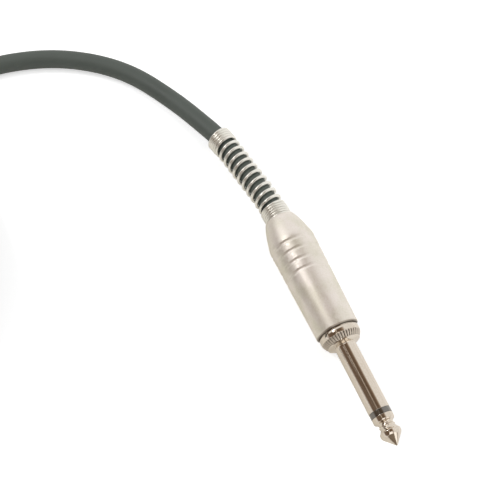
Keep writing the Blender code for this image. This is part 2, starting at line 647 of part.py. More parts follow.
def solder_joint(name, floor, facing, along, plug):
    """A dome of solder that stands on a tongue, facing the plug's axis."""
    bm = bmesh.new()
    bmesh.ops.create_uvsphere(bm, u_segments=10, v_segments=6, radius=1.0)
    whole = bm.verts[:] + bm.edges[:] + bm.faces[:]
    cut = bmesh.ops.bisect_plane(
        bm, geom=whole, plane_co=(0, 0, 0), plane_no=(0, 0, -1), clear_outer=True
    )
    bmesh.ops.holes_fill(bm, edges=[e for e in cut["geom_cut"] if isinstance(e, bmesh.types.BMEdge)])
    size = Vector((SOLDER_DIAMETER / 2, SOLDER_DIAMETER / 2, SOLDER_HEIGHT))
    turn = Matrix.Rotation(facing * math.pi / 2, 4, "Y")
    bmesh.ops.transform(
        bm, matrix=Matrix.Translation((floor, 0, along)) @ turn @ Matrix.Diagonal((*size, 1)), verts=bm.verts
    )
    bmesh.ops.recalc_face_normals(bm, faces=bm.faces)
    mesh = bpy.data.meshes.new(name)
    bm.to_mesh(mesh)
    bm.free()
    place(name, mesh, SOLDER, plug)


def plug_assembly(name, location, heading):
    """Every rigid piece of one plug, on an empty whose +Z is the plug's axis, towards its tip."""
    plug = bpy.data.objects.new(f"{name}_axis", None)
    parts.objects.link(plug)
    plug.location = location
    plug.rotation_euler = (Matrix.Rotation(heading, 3, "Z") @ Matrix.Rotation(math.pi / 2, 3, "Y")).to_euler()
    for make in (tip, insulator, sleeve, cable_clamp, washer, tip_lug, liner, barrel, wires):
        make(name, plug)


# ---------------------------------------------------------------------------------------------------------
# Cable and springs
# ---------------------------------------------------------------------------------------------------------
def spring(name, route, seat):
    """The strain relief: one wire wound round the cable, from its wide seat curl in the barrel to its far
    end. route starts at the cable's stripped end, and seat is the distance along it to the seat curl."""
    hidden_pitch = (SPRING_SEAT - BARREL_BACK) / SPRING_HIDDEN_TURNS
    closed = SPRING_NEAR_CLOSED_TURNS + SPRING_FAR_CLOSED_TURNS
    open_pitch = (SPRING_LENGTH - closed * SPRING_CLOSED_PITCH) / SPRING_OPEN_TURNS
    pitches = [SPRING_CLOSED_PITCH] + [hidden_pitch] * SPRING_HIDDEN_TURNS
    pitches += [SPRING_CLOSED_PITCH] * SPRING_NEAR_CLOSED_TURNS + [open_pitch] * SPRING_OPEN_TURNS
    pitches += [SPRING_CLOSED_PITCH] * SPRING_FAR_CLOSED_TURNS
    reached = np.concatenate([[0.0], np.cumsum(pitches)]) + seat - SPRING_CLOSED_PITCH
    points = []
    for turn in np.linspace(0, len(pitches), len(pitches) * CURL_POINTS + 1).tolist():
        distance = float(np.interp(turn, range(len(reached)), reached))
        narrowing = min(max((turn - 0.9) / 0.4, 0.0), 1.0)
        radius = SPRING_SEAT_RADIUS - SPRING_SEAT_STEP * narrowing
        ahead = direction(route, distance)
        side = ahead.cross(Vector((0, 0, 1))).normalized()
        above = side.cross(ahead)
        angle = math.tau * turn
        points.append(route(distance) + radius * (math.cos(angle) * above + math.sin(angle) * side))
    least_gap(name, points, SPRING_WIRE, CURL_POINTS)
    tube(name, points, SPRING_WIRE, SPRING_STEEL, None, 1)


def coil_points():
    """The coil's turns: four layers that spiral in and out, each climbing to the next in the half turn where
    the spiral reverses, with a straight lead at each end."""
    total = COIL_TURNS * LOOP_POINTS
    points = []
    for step in range(round(total) + 1):
        turn = step * COIL_TURNS / round(total)
        layer = min(int(turn / COIL_LAYER_TURNS), COIL_LAYERS - 1)
        inward = turn / COIL_LAYER_TURNS - layer
        share = inward if layer % 2 == 0 else 1 - inward
        radius = COIL_OUTER_RADIUS - COIL_PITCH * COIL_LAYER_TURNS * share
        climbed = sum(
            min(max((turn - change * COIL_LAYER_TURNS) / 0.5 + 0.5, 0.0), 1.0)
            for change in range(1, COIL_LAYERS)
        )
        angle = COIL_START + math.tau * turn
        height = COIL_BASE + COIL_PITCH * climbed
        points.append(COIL_CENTRE + Vector((radius * math.cos(angle), radius * math.sin(angle), height)))
    leads = [
        points[0] - CABLE_DIAMETER * Vector((-math.sin(COIL_START), math.cos(COIL_START), 0)),
        points[-1] + CABLE_DIAMETER * Vector((-math.sin(COIL_END), math.cos(COIL_END), 0)),
    ]
    return [leads[0]] + points + [leads[1]]


def tie(turns):
    """The hook-and-loop strap round all the coil's turns, drawn round where they cross its plane."""
    outward = Vector((math.cos(TIE_ANGLE), math.sin(TIE_ANGLE), 0))
    along = Vector((-math.sin(TIE_ANGLE), math.cos(TIE_ANGLE), 0))
    local = [point - COIL_CENTRE for point in turns]
    crossing = [
        (p.lerp(q, share).dot(outward), p.lerp(q, share).z)
        for p, q in zip(local, local[1:])
        for share in (0.0, 0.5)
        if p.dot(outward) > 0 and abs(p.lerp(q, share).dot(along)) < TIE_WIDTH
    ]
    reach = JACKET_RADIUS + CLEARANCE
    low = (min(c[0] for c in crossing) - reach, min(c[1] for c in crossing) - reach)
    high = (max(c[0] for c in crossing) + reach, max(c[1] for c in crossing) + reach)
    outlines = []
    for grow in (TIE_THICKNESS, 0.0):
        corner = TIE_CORNER + grow
        outline = []
        for start, x, y in (
            (0, high[0] + grow - corner, high[1] + grow - corner),
            (90, low[0] - grow + corner, high[1] + grow - corner),
            (180, low[0] - grow + corner, low[1] - grow + corner),
            (270, high[0] + grow - corner, low[1] - grow + corner),
        ):
            outline += arc((x, y), corner, start, start + 90, 5)
        outlines.append(outline)
    stand = Matrix((outward, (0, 0, 1), -along)).transposed().to_4x4()
    matrix = Matrix.Translation(COIL_CENTRE) @ stand
    stamped("coil_tie", outlines, TIE_WIDTH, matrix, TIE_NYLON, None)


def cable():
    """The cable from one stripped end to the other, with both springs."""
    turns = coil_points()
    entering = (turns[0] - turns[1]).normalized()
    leaving = (turns[-1] - turns[-2]).normalized()
    inside = [JACKET_FRONT, 0.5 * (JACKET_FRONT + BARREL_BACK), BARREL_BACK]
    near_axis = [NEAR_PLACE + Vector((along, 0, 0)) for along in inside]
    far_axis = [FAR_PLACE + along * FAR_DIRECTION for along in reversed(inside)]
    leads = (CLEARANCE + CABLE_DIAMETER, CLEARANCE)
    near_end = [turns[0] + lead * entering for lead in leads]
    far_end = [turns[-1] + lead * leaving for lead in reversed(leads)]
    near_points = near_axis + [Vector(point) for point in NEAR_ROUTE] + near_end
    far_points = far_end + [Vector((x, y, COIL_TOP + above)) for x, y, above in FAR_ROUTE] + far_axis
    near_route, near_length = smooth_route(near_points)
    far_route, far_length = smooth_route(list(reversed(far_points)))
    mouth = JACKET_FRONT - BARREL_BACK
    covered = mouth + SPRING_LENGTH + JACKET_PAST_SPRING
    for name, free, route, length in (
        ("near", "cable_free_stretch", near_route, near_length),
        ("far", "cable_tail", far_route, far_length),
    ):
        tube(f"{name}_jacket_end", stretch(route, 0.0, covered, CABLE_DIAMETER), CABLE_DIAMETER, JACKET_PVC)
        rest = stretch(route, covered + CLEARANCE, length, 1.5 * CABLE_DIAMETER)
        tube(free, rest, CABLE_DIAMETER, JACKET_PVC)
        spring(f"{name}_spring", route, mouth - (SPRING_SEAT - BARREL_BACK))
    least_gap("cable_coil", turns, CABLE_DIAMETER, LOOP_POINTS)
    tube("cable_coil", turns, CABLE_DIAMETER, JACKET_PVC, None, 1)
    tie(turns)
    coiled = sum((q - p).length for p, q in zip(turns, turns[1:]))
    print(f"cable length {coiled + near_length + far_length:.3f} m, of which coiled {coiled:.3f} m")


plug_assembly("near", NEAR_PLACE, 0.0)
plug_assembly("far", FAR_PLACE, FAR_HEADING)
cable()

bpy.context.view_layer.update()
for thing in list(parts.objects) + list(cutters.objects):
    if thing.type == "MESH":
        thing.data.shade_smooth()
        thing.data.set_sharp_from_angle(angle=math.radians(35))
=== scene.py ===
# %% [markdown]
# # An instrument cable with two phone plugs
# The subject is a 3 m cable for a guitar or a keyboard. It has a quarter-inch phone plug on each end. One
# plug and its first stretch of cable face the camera. The rest of the cable is wound into a neat coil,
# just out of view, with the second plug lying on top of it. The solid model gives every piece its place,
# and this script dresses it: fine meshes for what the eye meets, and a finish for each material.

# %% Load the solid model
import math

import bmesh
import bpy
import numpy as np
from mathutils import Matrix, Vector


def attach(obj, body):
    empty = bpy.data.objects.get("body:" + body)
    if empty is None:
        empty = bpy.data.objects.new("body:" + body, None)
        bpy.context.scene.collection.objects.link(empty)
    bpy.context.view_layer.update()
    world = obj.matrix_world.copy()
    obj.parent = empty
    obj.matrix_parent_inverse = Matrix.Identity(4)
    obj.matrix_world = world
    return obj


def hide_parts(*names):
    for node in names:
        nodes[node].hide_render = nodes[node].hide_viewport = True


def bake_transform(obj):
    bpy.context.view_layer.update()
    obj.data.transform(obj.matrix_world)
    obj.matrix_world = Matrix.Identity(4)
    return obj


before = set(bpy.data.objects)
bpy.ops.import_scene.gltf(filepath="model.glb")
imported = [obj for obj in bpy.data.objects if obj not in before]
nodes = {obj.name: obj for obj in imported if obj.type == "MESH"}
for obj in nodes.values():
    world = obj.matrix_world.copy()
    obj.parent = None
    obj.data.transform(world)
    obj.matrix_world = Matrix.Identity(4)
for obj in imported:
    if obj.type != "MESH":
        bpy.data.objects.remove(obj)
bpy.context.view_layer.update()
MM = 0.001
print("solid model:", len(nodes), "pieces")

# %% [markdown]
# ## The camera
# The photograph looks down on the plug from the side of its cable. A camera in Blender needs a place, a
# direction and a lens. The direction comes from two angles: how far round the plug the camera stands, and
# how high above the table it is. The lens is a short telephoto, so the barrel and the tip keep their real
# proportions.

# %% Place the camera
AZIMUTH, ELEVATION = math.radians(65.9), math.radians(63.5)
LOOK_AT = Vector((-37.5, -11.3, 0.0)) * MM
CAMERA_DISTANCE = 312 * MM
FOCAL_LENGTH, SENSOR_WIDTH = 74.7, 36.0  # mm
NEAREST_SEEN = 5 * MM

towards_camera = Vector(
    (
        math.sin(AZIMUTH) * math.cos(ELEVATION),
        -math.cos(AZIMUTH) * math.cos(ELEVATION),
        math.sin(ELEVATION),
    )
)
lens = bpy.data.cameras.new("product_lens")
lens.sensor_width = SENSOR_WIDTH
lens.lens = FOCAL_LENGTH
lens.clip_start = NEAREST_SEEN
camera = bpy.data.objects.new("product_camera", lens)
camera.location = LOOK_AT + CAMERA_DISTANCE * towards_camera
camera.rotation_euler = towards_camera.to_track_quat("Z", "Y").to_euler()
bpy.context.scene.collection.objects.link(camera)
bpy.context.scene.camera = camera
bpy.context.scene.view_settings.view_transform = "Standard"
print("camera at", [round(v / MM) for v in camera.location], "mm")

# %% [markdown]
# ## The route of the cable
# A cable is one length of something springy, so its route has to bend evenly. A few points say where it
# goes: out of the near plug, round to the coil, off the top of the coil and back into the far plug. A
# cubic spline through them has no kinks. These are the points that the solid cable follows too.

# %% Points that the cable passes
BARREL_MOUTH = -44.0 * MM  # along a plug, from its flange's front face
JACKET_START = -27.0 * MM
CABLE_DIAMETER = 6.0 * MM
CABLE_LENGTH = 3.0
CLEARANCE = 0.3 * MM

NEAR_PLACE = Vector((6.25, 0.0, 7.2)) * MM  # the middle of the near plug's flange face
COIL_TOP = 26.8 * MM
FAR_HEADING = math.radians(12)
FAR_DIRECTION = Vector((math.cos(FAR_HEADING), math.sin(FAR_HEADING), 0.0))
FAR_MOUTH = Vector((-72.8 * MM, -155.9 * MM, COIL_TOP + 7.5 * MM))  # the middle of its barrel's mouth
FAR_PLACE = FAR_MOUTH - BARREL_MOUTH * FAR_DIRECTION

NEAR_ROUTE = [
    Vector(point) * MM
    for point in (
        (-44.5, -0.3, 7.0), (-57.5, -2.0, 6.2), (-70.4, -3.9, 5.1), (-76.0, -5.2, 4.6),
        (-81.3, -7.0, 4.1), (-86.8, -9.0, 3.6), (-92.2, -11.2, 3.2), (-97.4, -13.7, 3.0),
        (-102.4, -16.4, 3.0), (-107.2, -19.4, 3.0), (-113.5, -24.6, 3.0), (-120.2, -32.5, 3.0),
        (-125.6, -41.8, 3.0), (-129.2, -52.0, 3.0), (-131.2, -63.5, 3.0), (-131.6, -77.0, 3.0),
        (-130.8, -95.0, 3.2), (-128.4, -113.0, 3.6), (-125.0, -128.5, 4.1),
    )
]
FAR_ROUTE = [
    Vector(point) * MM + Vector((0.0, 0.0, COIL_TOP))
    for point in (
        (-99.3, -92.0, -1.8), (-108.6, -99.2, 0.6), (-116.3, -109.8, 2.8), (-120.3, -120.5, 3.9),
        (-121.0, -130.0, 4.3), (-118.3, -139.0, 4.5), (-112.9, -146.1, 4.8), (-108.3, -149.7, 5.1),
        (-99.3, -154.1, 5.8), (-86.2, -156.9, 6.9),
    )
]
print("between plugs and coil:", len(NEAR_ROUTE), "and", len(FAR_ROUTE), "points")


# %% A smooth line through points
SAMPLES_PER_POINT = 60


def smooth_route(points):
    """A cubic spline over the distance between points: gives a place for each distance, and the length."""
    knots = np.array([tuple(p) for p in points])
    chords = np.linalg.norm(np.diff(knots, axis=0), axis=1)
    along = np.concatenate([[0.0], np.cumsum(chords)])
    count = len(knots)
    system, wanted = np.zeros((count, count)), np.zeros((count, 3))
    system[0, 0] = system[-1, -1] = 1.0
    for i in range(1, count - 1):
        system[i, i - 1 : i + 2] = chords[i - 1], 2 * (chords[i - 1] + chords[i]), chords[i]
        steps = np.diff(knots[i - 1 : i + 2], axis=0) / chords[i - 1 : i + 1, None]
        wanted[i] = 6 * (steps[1] - steps[0])
    bends = np.linalg.solve(system, wanted)
    at = np.linspace(0.0, along[-1], SAMPLES_PER_POINT * count)
    span = np.clip(np.searchsorted(along, at, side="right") - 1, 0, count - 2)
    h = chords[span][:, None]
    before = (at - along[span])[:, None]
    after = h - before
    fine = (
        (bends[span] * after**3 + bends[span + 1] * before**3) / (6 * h)
        + (knots[span] / h - bends[span] * h / 6) * after
        + (knots[span + 1] / h - bends[span + 1] * h / 6) * before
    )
    travelled = np.concatenate([[0.0], np.cumsum(np.linalg.norm(np.diff(fine, axis=0), axis=1))])

    def place_at(distance):
        return Vector([float(np.interp(distance, travelled, fine[:, axis])) for axis in range(3)])

    return place_at, float(travelled[-1])


# %% [markdown]
# ## The coil
# Whoever winds a cable away makes loops that lie beside and on each other. The coil has four layers. The
# first spirals inwards, the next outwards, and so on, and the cable climbs to the next layer during the
# half turn where it changes over. Radius and height are both simple functions of the turn, so one loop
# over the angle places every point. The lowest layer lies a little above the table, because the strap goes
# under it.

# %% Wind the coil
COIL_CENTRE = Vector((-77.5, -133.0, 0.0)) * MM
COIL_START, COIL_END = math.radians(200), math.radians(90)
COIL_TURNS = 13 + (COIL_END - COIL_START) / math.tau
COIL_LAYERS = 4
COIL_PITCH = 6.5 * MM
COIL_BOTTOM = 4.3 * MM  # the middle of the cable in the lowest layer
LENGTH_OUTSIDE = 0.368  # metres of cable that are not in the coil
COIL_MID_RADIUS = (CABLE_LENGTH - LENGTH_OUTSIDE) / (math.tau * COIL_TURNS)
LAYER_TURNS = COIL_TURNS / COIL_LAYERS
CLIMB_TURNS = 0.5
LOOP_POINTS = 72


def coil_point(turn):
    """Where the middle of the cable is after so many turns."""
    layer = min(int(turn / LAYER_TURNS), COIL_LAYERS - 1)
    inward = turn / LAYER_TURNS - layer
    share = inward if layer % 2 == 0 else 1 - inward
    radius = COIL_MID_RADIUS + LAYER_TURNS * COIL_PITCH * (0.5 - share)
    changes = [i * LAYER_TURNS for i in range(1, COIL_LAYERS)]
    climbed = sum(min(max((turn - change) / CLIMB_TURNS + 0.5, 0), 1) for change in changes)
    angle = COIL_START + math.tau * turn
    return COIL_CENTRE + Vector(
        (radius * math.cos(angle), radius * math.sin(angle), COIL_BOTTOM + COIL_PITCH * climbed)
    )


turn_count = round(COIL_TURNS * LOOP_POINTS)
coil = [coil_point(COIL_TURNS * i / turn_count) for i in range(turn_count + 1)]
enters = -Vector((-math.sin(COIL_START), math.cos(COIL_START), 0))
leaves = Vector((-math.sin(COIL_END), math.cos(COIL_END), 0))
coil_width = 2 * max((point - COIL_CENTRE).xy.length for point in coil) + CABLE_DIAMETER
print("coil:", round(COIL_TURNS, 2), "turns,", round(coil_width / MM), "mm across outside")

# %% Join plug, coil and plug into one route
inside_plug = [JACKET_START, 0.5 * (JACKET_START + BARREL_MOUTH), BARREL_MOUTH]
near_axis = [NEAR_PLACE + Vector((z, 0, 0)) for z in inside_plug]
far_axis = [FAR_PLACE + z * FAR_DIRECTION for z in inside_plug]
near_leads = [coil[0] + (share * CABLE_DIAMETER + CLEARANCE) * enters for share in (2, 1)]
far_leads = [coil[-1] + (share * CABLE_DIAMETER + CLEARANCE) * leaves for share in (2, 1)]
near_line, near_length = smooth_route(near_axis + NEAR_ROUTE + near_leads)
far_line, far_length = smooth_route(far_axis + FAR_ROUTE[::-1] + far_leads)
STEP = 1.5 * MM
cable_path = [near_line(d) for d in np.linspace(0, near_length, round(near_length / STEP))]
cable_path += coil
cable_path += [far_line(d) for d in np.linspace(far_length, 0, round(far_length / STEP))]

# %% [markdown]
# ## Colours and nodes
# A colour picked on a screen is an sRGB hex value, and Blender's shaders want linear light, so one
# function turns one into the other. Another adds a node with its settings, its numbers and its links. Two
# more begin and complete a finish, which keeps each one short enough to read.


# %% Helpers for finishes
def linear(colour):
    """An sRGB hex colour as linear red, green, blue and alpha."""
    parts = [int(colour[i : i + 2], 16) / 255 for i in (1, 3, 5)]
    return (*[c / 12.92 if c <= 0.04045 else ((c + 0.055) / 1.055) ** 2.4 for c in parts], 1.0)


def add(tree, kind, numbers=(), links=(), **settings):
    """Adds a shader node of a kind, with its settings, its inputs' numbers and its inputs' links."""
    node = tree.nodes.new("ShaderNode" + kind)
    for key, value in settings.items():
        setattr(node, key, value)
    for key, value in dict(numbers).items():
        node.inputs[key].default_value = value
    for key, socket in dict(links).items():
        tree.links.new(socket, node.inputs[key])
    return node


def new_finish(name):
    """An empty material: returns it and its tree."""
    material = bpy.data.materials.new(name)
    material.use_nodes = True
    material.node_tree.nodes.clear()
    return material, material.node_tree


def complete(material, numbers, links):
    """Ends a finish with a Principled shader, its numbers and its links, and the output node."""
    tree = material.node_tree
    shader = add(tree, "BsdfPrincipled", numbers, links)
    add(tree, "OutputMaterial", links={"Surface": shader.outputs["BSDF"]})
    print("finish:", material.name, "with", len(tree.nodes), "nodes")


# %% [markdown]
# ## The cable's jacket
# The jacket is flexible PVC, pushed hot through a round die over the shield. Its colour is a green-grey
# black, and handling has left it matt, with a very fine grain and a few paler scuffs. PVC reflects like
# most plastics, so its IOR stays near 1.5 and the roughness does the work. The real grain is under 0.1 mm,
# too fine for the picture, so it is drawn at 0.35 mm.

# %% Extruded PVC
pvc_jacket, tree = new_finish("extruded_flexible_pvc")
place = add(tree, "TexCoord").outputs["Object"]
cloudy = add(tree, "TexNoise", {"Scale": 1 / (9 * MM), "Detail": 4.0}, {"Vector": place})
scuffs = add(tree, "TexNoise", {"Scale": 1 / (1.6 * MM), "Detail": 5.0, "Roughness": 0.7}, {"Vector": place})
scuffed = add(
    tree,
    "MapRange",
    {"From Min": 0.62, "From Max": 0.80, "To Min": 0.0, "To Max": 0.35},
    {"Value": scuffs.outputs["Fac"]},
)
body_colour = add(
    tree, "Mix", {6: linear("#484E49"), 7: linear("#575E58")}, {0: cloudy.outputs["Fac"]}, data_type="RGBA"
)
jacket_colour = add(
    tree,
    "Mix",
    {7: linear("#70736D")},
    {0: scuffed.outputs["Result"], 6: body_colour.outputs[2]},
    data_type="RGBA",
)
matt = add(tree, "MapRange", {"To Min": 0.48, "To Max": 0.64}, {"Value": cloudy.outputs["Fac"]})
grain = add(tree, "TexNoise", {"Scale": 1 / (0.35 * MM), "Detail": 3.0}, {"Vector": place})
bump = add(tree, "Bump", {"Strength": 0.25, "Distance": 0.05 * MM}, {"Height": grain.outputs["Fac"]})
complete(
    pvc_jacket,
    {"IOR": 1.53},
    {"Base Color": jacket_colour.outputs[2], "Roughness": matt.outputs[0], "Normal": bump.outputs[0]},
)

# %% [markdown]
# ## The cable itself
# A curve object with a round bevel is the natural tool for a cable: it stays one unbroken length, and its
# thickness is one number. Every place where the cable shows is this single piece, from inside one barrel to
# inside the other.


# %% A helper for round lengths
def round_length(name, depth, resolution, points, widths):
    """A curve object with a round section, whose radius at each point is depth times that point's width."""
    curve = bpy.data.curves.new(name, "CURVE")
    curve.dimensions = "3D"
    curve.bevel_depth, curve.bevel_resolution = depth, resolution
    curve.use_fill_caps = True
    spline = curve.splines.new("POLY")
    spline.points.add(len(points) - 1)
    for knot, point, width in zip(spline.points, points, widths):
        knot.co = (*point, 1.0)
        knot.radius = width
    piece = bpy.data.objects.new(name, curve)
    bpy.context.scene.collection.objects.link(piece)
    return piece


# %% Lay the cable
CABLE_BODY = "cable_and_contacts"
cable = round_length(
    "cable", depth=CABLE_DIAMETER / 2, resolution=10, points=cable_path, widths=[1.0] * len(cable_path)
)
cable.data.materials.append(pvc_jacket)
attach(cable, CABLE_BODY)
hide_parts("near_jacket_end", "cable_free_stretch", "cable_coil", "cable_tail", "far_jacket_end")
print("cable:", CABLE_DIAMETER / MM, "mm thick, in one piece")

# %% [markdown]
# ## Nickel plate, polished
# A plug's contacts are turned from brass, buffed and plated with bright nickel. Nickel is a warm, slightly
# yellow grey. It mirrors what is round it, and pushing it into sockets leaves fine scratches that run
# along the shaft. Real ones are a few hundredths of a millimetre wide, and here they are drawn 0.22 mm
# wide. They must follow each plug, so every turned piece carries an attribute that says where on the plug
# each point is. A second attribute marks the narrow gaps between the flange's teeth and at the barrel's
# front face, and the finish darkens the metal there to a dark brown: painted shade, for the depth of the
# gaps.

# %% Polished nickel plate
ON_PLUG = "place_on_plug"
IN_GROOVE = "depth_in_groove"


def plug_place(tree, scale_mm):
    """Where a point is on its plug, in units of scale_mm across, across and along."""
    where = add(tree, "Attribute", attribute_name=ON_PLUG)
    scaled = add(
        tree,
        "Mapping",
        {"Scale": [1 / (size * MM) for size in scale_mm]},
        {"Vector": where.outputs["Vector"]},
    )
    return scaled.outputs["Vector"]


polished_nickel, tree = new_finish("nickel_plate_polished")
smears = add(tree, "TexNoise", {"Scale": 1.0, "Detail": 4.0}, {"Vector": plug_place(tree, (3, 3, 9))})
scratches = add(
    tree,
    "TexNoise",
    {"Scale": 1.0, "Detail": 4.0, "Roughness": 0.65},
    {"Vector": plug_place(tree, (0.22, 0.22, 9.0))},
)
tint = add(
    tree, "Mix", {6: linear("#D3C8BA"), 7: linear("#DFD7CC")}, {0: smears.outputs["Fac"]}, data_type="RGBA"
)
specks = add(
    tree,
    "TexNoise",
    {"Scale": 1.0, "Detail": 2.0, "Roughness": 0.7},
    {"Vector": plug_place(tree, (0.35, 0.35, 0.5))},
)
speckled = add(
    tree,
    "MapRange",
    {"From Min": 0.3, "From Max": 0.7, "To Min": 0.30, "To Max": 0.70},
    {"Value": specks.outputs["Fac"]},
)
uneven = add(
    tree,
    "Mix",
    {0: 0.35},
    {6: tint.outputs[2], 7: speckled.outputs["Result"]},
    data_type="RGBA",
    blend_type="SOFT_LIGHT",
)
# Painted shade: where this attribute is high, the metal turns dark brown, in the tooth valleys and at the
# barrel's front gap.
hidden = add(tree, "Attribute", attribute_name=IN_GROOVE)
gap_shade = add(
    tree, "Mix", {7: linear("#33281D")}, {0: hidden.outputs["Fac"], 6: uneven.outputs[2]}, data_type="RGBA"
)
rubbed = add(
    tree,
    "MapRange",
    {"From Min": 0.35, "From Max": 0.75, "To Min": 0.07, "To Max": 0.20},
    {"Value": scratches.outputs["Fac"]},
)
milled = add(
    tree, "MapRange", {"From Max": 0.1, "To Min": 0.0, "To Max": 0.28}, {"Value": hidden.outputs["Fac"]}
)
rough = add(tree, "Math", links={0: rubbed.outputs["Result"], 1: milled.outputs["Result"]})
bump = add(tree, "Bump", {"Strength": 0.35, "Distance": 0.012 * MM}, {"Height": scratches.outputs["Fac"]})
complete(
    polished_nickel,
    {"Metallic": 1.0},
    {"Base Color": gap_shade.outputs[2], "Roughness": rough.outputs[0], "Normal": bump.outputs[0]},
)

# %% [markdown]
# ## Nickel plate, satin
# The barrel has the same plate over a blasted surface. Tiny craters scatter the light, so it shows broad
# soft bands where the shaft shows sharp ones. The real grain is about 0.1 mm, too fine for the picture, so
# it is drawn at 0.4 mm.

# %% Satin nickel plate
satin_nickel, tree = new_finish("nickel_plate_satin")
handled = add(tree, "TexNoise", {"Scale": 1.0, "Detail": 5.0}, {"Vector": plug_place(tree, (4, 4, 7))})
blasted = add(
    tree,
    "TexNoise",
    {"Scale": 1.0, "Detail": 3.0, "Roughness": 0.6},
    {"Vector": plug_place(tree, (0.4, 0.4, 0.4))},
)
tint = add(tree, "ValToRGB", links={"Fac": handled.outputs["Fac"]})
tint.color_ramp.elements[0].position, tint.color_ramp.elements[0].color = 0.36, linear("#E3DFD3")
tint.color_ramp.elements[1].position, tint.color_ramp.elements[1].color = 0.64, linear("#EEE8E2")
speckled = add(
    tree,
    "MapRange",
    {"From Min": 0.36, "From Max": 0.64, "To Min": 0.22, "To Max": 0.78},
    {"Value": blasted.outputs["Fac"]},
)
grainy = add(
    tree,
    "Mix",
    {0: 0.5},
    {6: tint.outputs["Color"], 7: speckled.outputs["Result"]},
    data_type="RGBA",
    blend_type="SOFT_LIGHT",
)
rough = add(
    tree,
    "MapRange",
    {"From Min": 0.35, "From Max": 0.65, "To Min": 0.40, "To Max": 0.63},
    {"Value": blasted.outputs["Fac"]},
)
bump = add(tree, "Bump", {"Strength": 0.5, "Distance": 0.03 * MM}, {"Height": blasted.outputs["Fac"]})
complete(
    satin_nickel,
    {"Metallic": 1.0},
    {"Base Color": grainy.outputs[2], "Roughness": rough.outputs[0], "Normal": bump.outputs[0]},
)

# %% [markdown]
# ## Spring wire
# The strain relief is nickel-plated spring steel. The wire is drawn through a die, so it is bright and
# even, with a little dullness where the turns rub on each other and on the jacket.

# %% Plated spring wire
spring_wire, tree = new_finish("nickel_plated_spring_wire")
place = add(tree, "TexCoord").outputs["Object"]
dulled = add(tree, "TexNoise", {"Scale": 1 / (1.2 * MM), "Detail": 3.0}, {"Vector": place})
tint = add(
    tree, "Mix", {6: linear("#E8E6DE"), 7: linear("#F4F3EE")}, {0: dulled.outputs["Fac"]}, data_type="RGBA"
)
rough = add(tree, "MapRange", {"To Min": 0.28, "To Max": 0.44}, {"Value": dulled.outputs["Fac"]})
complete(spring_wire, {"Metallic": 1.0}, {"Base Color": tint.outputs[2], "Roughness": rough.outputs[0]})

# %% [markdown]
# ## Insulators
# The ring behind the tip is moulded in one with the tube inside the sleeve. It is a hard dark brown-grey
# plastic, and the mould leaves it so glossy that it mirrors the studio nearly as the metal beside it does.
# A clear, warm coat with a high IOR over the dark plastic gives that. Sockets have rubbed it in places.

# %% Moulded insulator
insulator_plastic, tree = new_finish("moulded_nylon_insulator")
rubbed = add(tree, "TexNoise", {"Scale": 1.0, "Detail": 4.0}, {"Vector": plug_place(tree, (0.8, 0.8, 0.8))})
tint = add(
    tree, "Mix", {6: linear("#262219"), 7: linear("#3E3931")}, {0: rubbed.outputs["Fac"]}, data_type="RGBA"
)
rough = add(tree, "MapRange", {"To Min": 0.25, "To Max": 0.42}, {"Value": rubbed.outputs["Fac"]})
coat = {"Coat Weight": 1.0, "Coat IOR": 2.3, "Coat Tint": linear("#D9C9B4"), "Coat Roughness": 0.15}
complete(
    insulator_plastic, {"IOR": 1.53, **coat}, {"Base Color": tint.outputs[2], "Roughness": rough.outputs[0]}
)

# %% [markdown]
# ## Turning the plug's pieces
# Tip, sleeve and barrel are all turned on a lathe in the factory. In a bmesh the same thing is a `spin`:
# half an outline, drawn with a few points, goes once round the axis. Real turned edges are never razor
# sharp, so the sharp ones get a narrow `bevel`. Each piece is made about its own axis and then put where
# its plug is.

# %% Two plugs and their axes
UPRIGHT_TO_LYING = Matrix.Rotation(math.pi / 2, 4, "Y")
PLUGS = {
    "near": Matrix.Translation(NEAR_PLACE) @ UPRIGHT_TO_LYING,
    "far": Matrix.Translation(FAR_PLACE) @ Matrix.Rotation(FAR_HEADING, 4, "Z") @ UPRIGHT_TO_LYING,
}


# %% Helpers for turned pieces
MERGE_DISTANCE = 0.0001 * MM
SHARP_ANGLE = math.radians(40)


def arc(centre, radius, start, end, count):
    """Points on an arc of the outline, in mm, with angles in degrees from straight out across the axis."""
    angles = [math.radians(start + (end - start) * i / (count - 1)) for i in range(count)]
    return [(centre[0] + radius * math.cos(a), centre[1] + radius * math.sin(a)) for a in angles]


def lathe(outline, steps):
    """Spins an outline of (across, along) points in mm about the axis. One from the axis stays open."""
    bm = bmesh.new()
    profile = [bm.verts.new((across * MM, 0, along * MM)) for across, along in outline]
    edges = [bm.edges.new(pair) for pair in zip(profile, profile[1:])]
    if outline[0][0] > 0:
        edges.append(bm.edges.new((profile[-1], profile[0])))
    bmesh.ops.spin(
        bm, geom=profile + edges, axis=(0, 0, 1), cent=(0, 0, 0), angle=math.tau, steps=steps, use_merge=True
    )
    bmesh.ops.remove_doubles(bm, verts=bm.verts, dist=MERGE_DISTANCE)
    bmesh.ops.recalc_face_normals(bm, faces=bm.faces)
    return bm


def break_edges(bm, width, least_angle, low, high):
    """Rounds the edges that turn more than least_angle, between two heights along the axis in mm."""
    bm.normal_update()
    sharp = [
        edge
        for edge in bm.edges
        if edge.is_manifold
        and edge.calc_face_angle(0) > math.radians(least_angle)
        and all(low * MM <= vert.co.z <= high * MM for vert in edge.verts)
    ]
    bmesh.ops.bevel(
        bm,
        geom=sharp,
        offset=width * MM,
        offset_type="OFFSET",
        affect="EDGES",
        segments=3,
        profile=0.5,
        clamp_overlap=True,
        material=-1,
    )


def to_object(bm, name):
    """A finished bmesh as an object of the scene, at the origin."""
    mesh = bpy.data.meshes.new(name)
    bm.to_mesh(mesh)
    bm.free()
    piece = bpy.data.objects.new(name, mesh)
    bpy.context.scene.collection.objects.link(piece)
    return piece


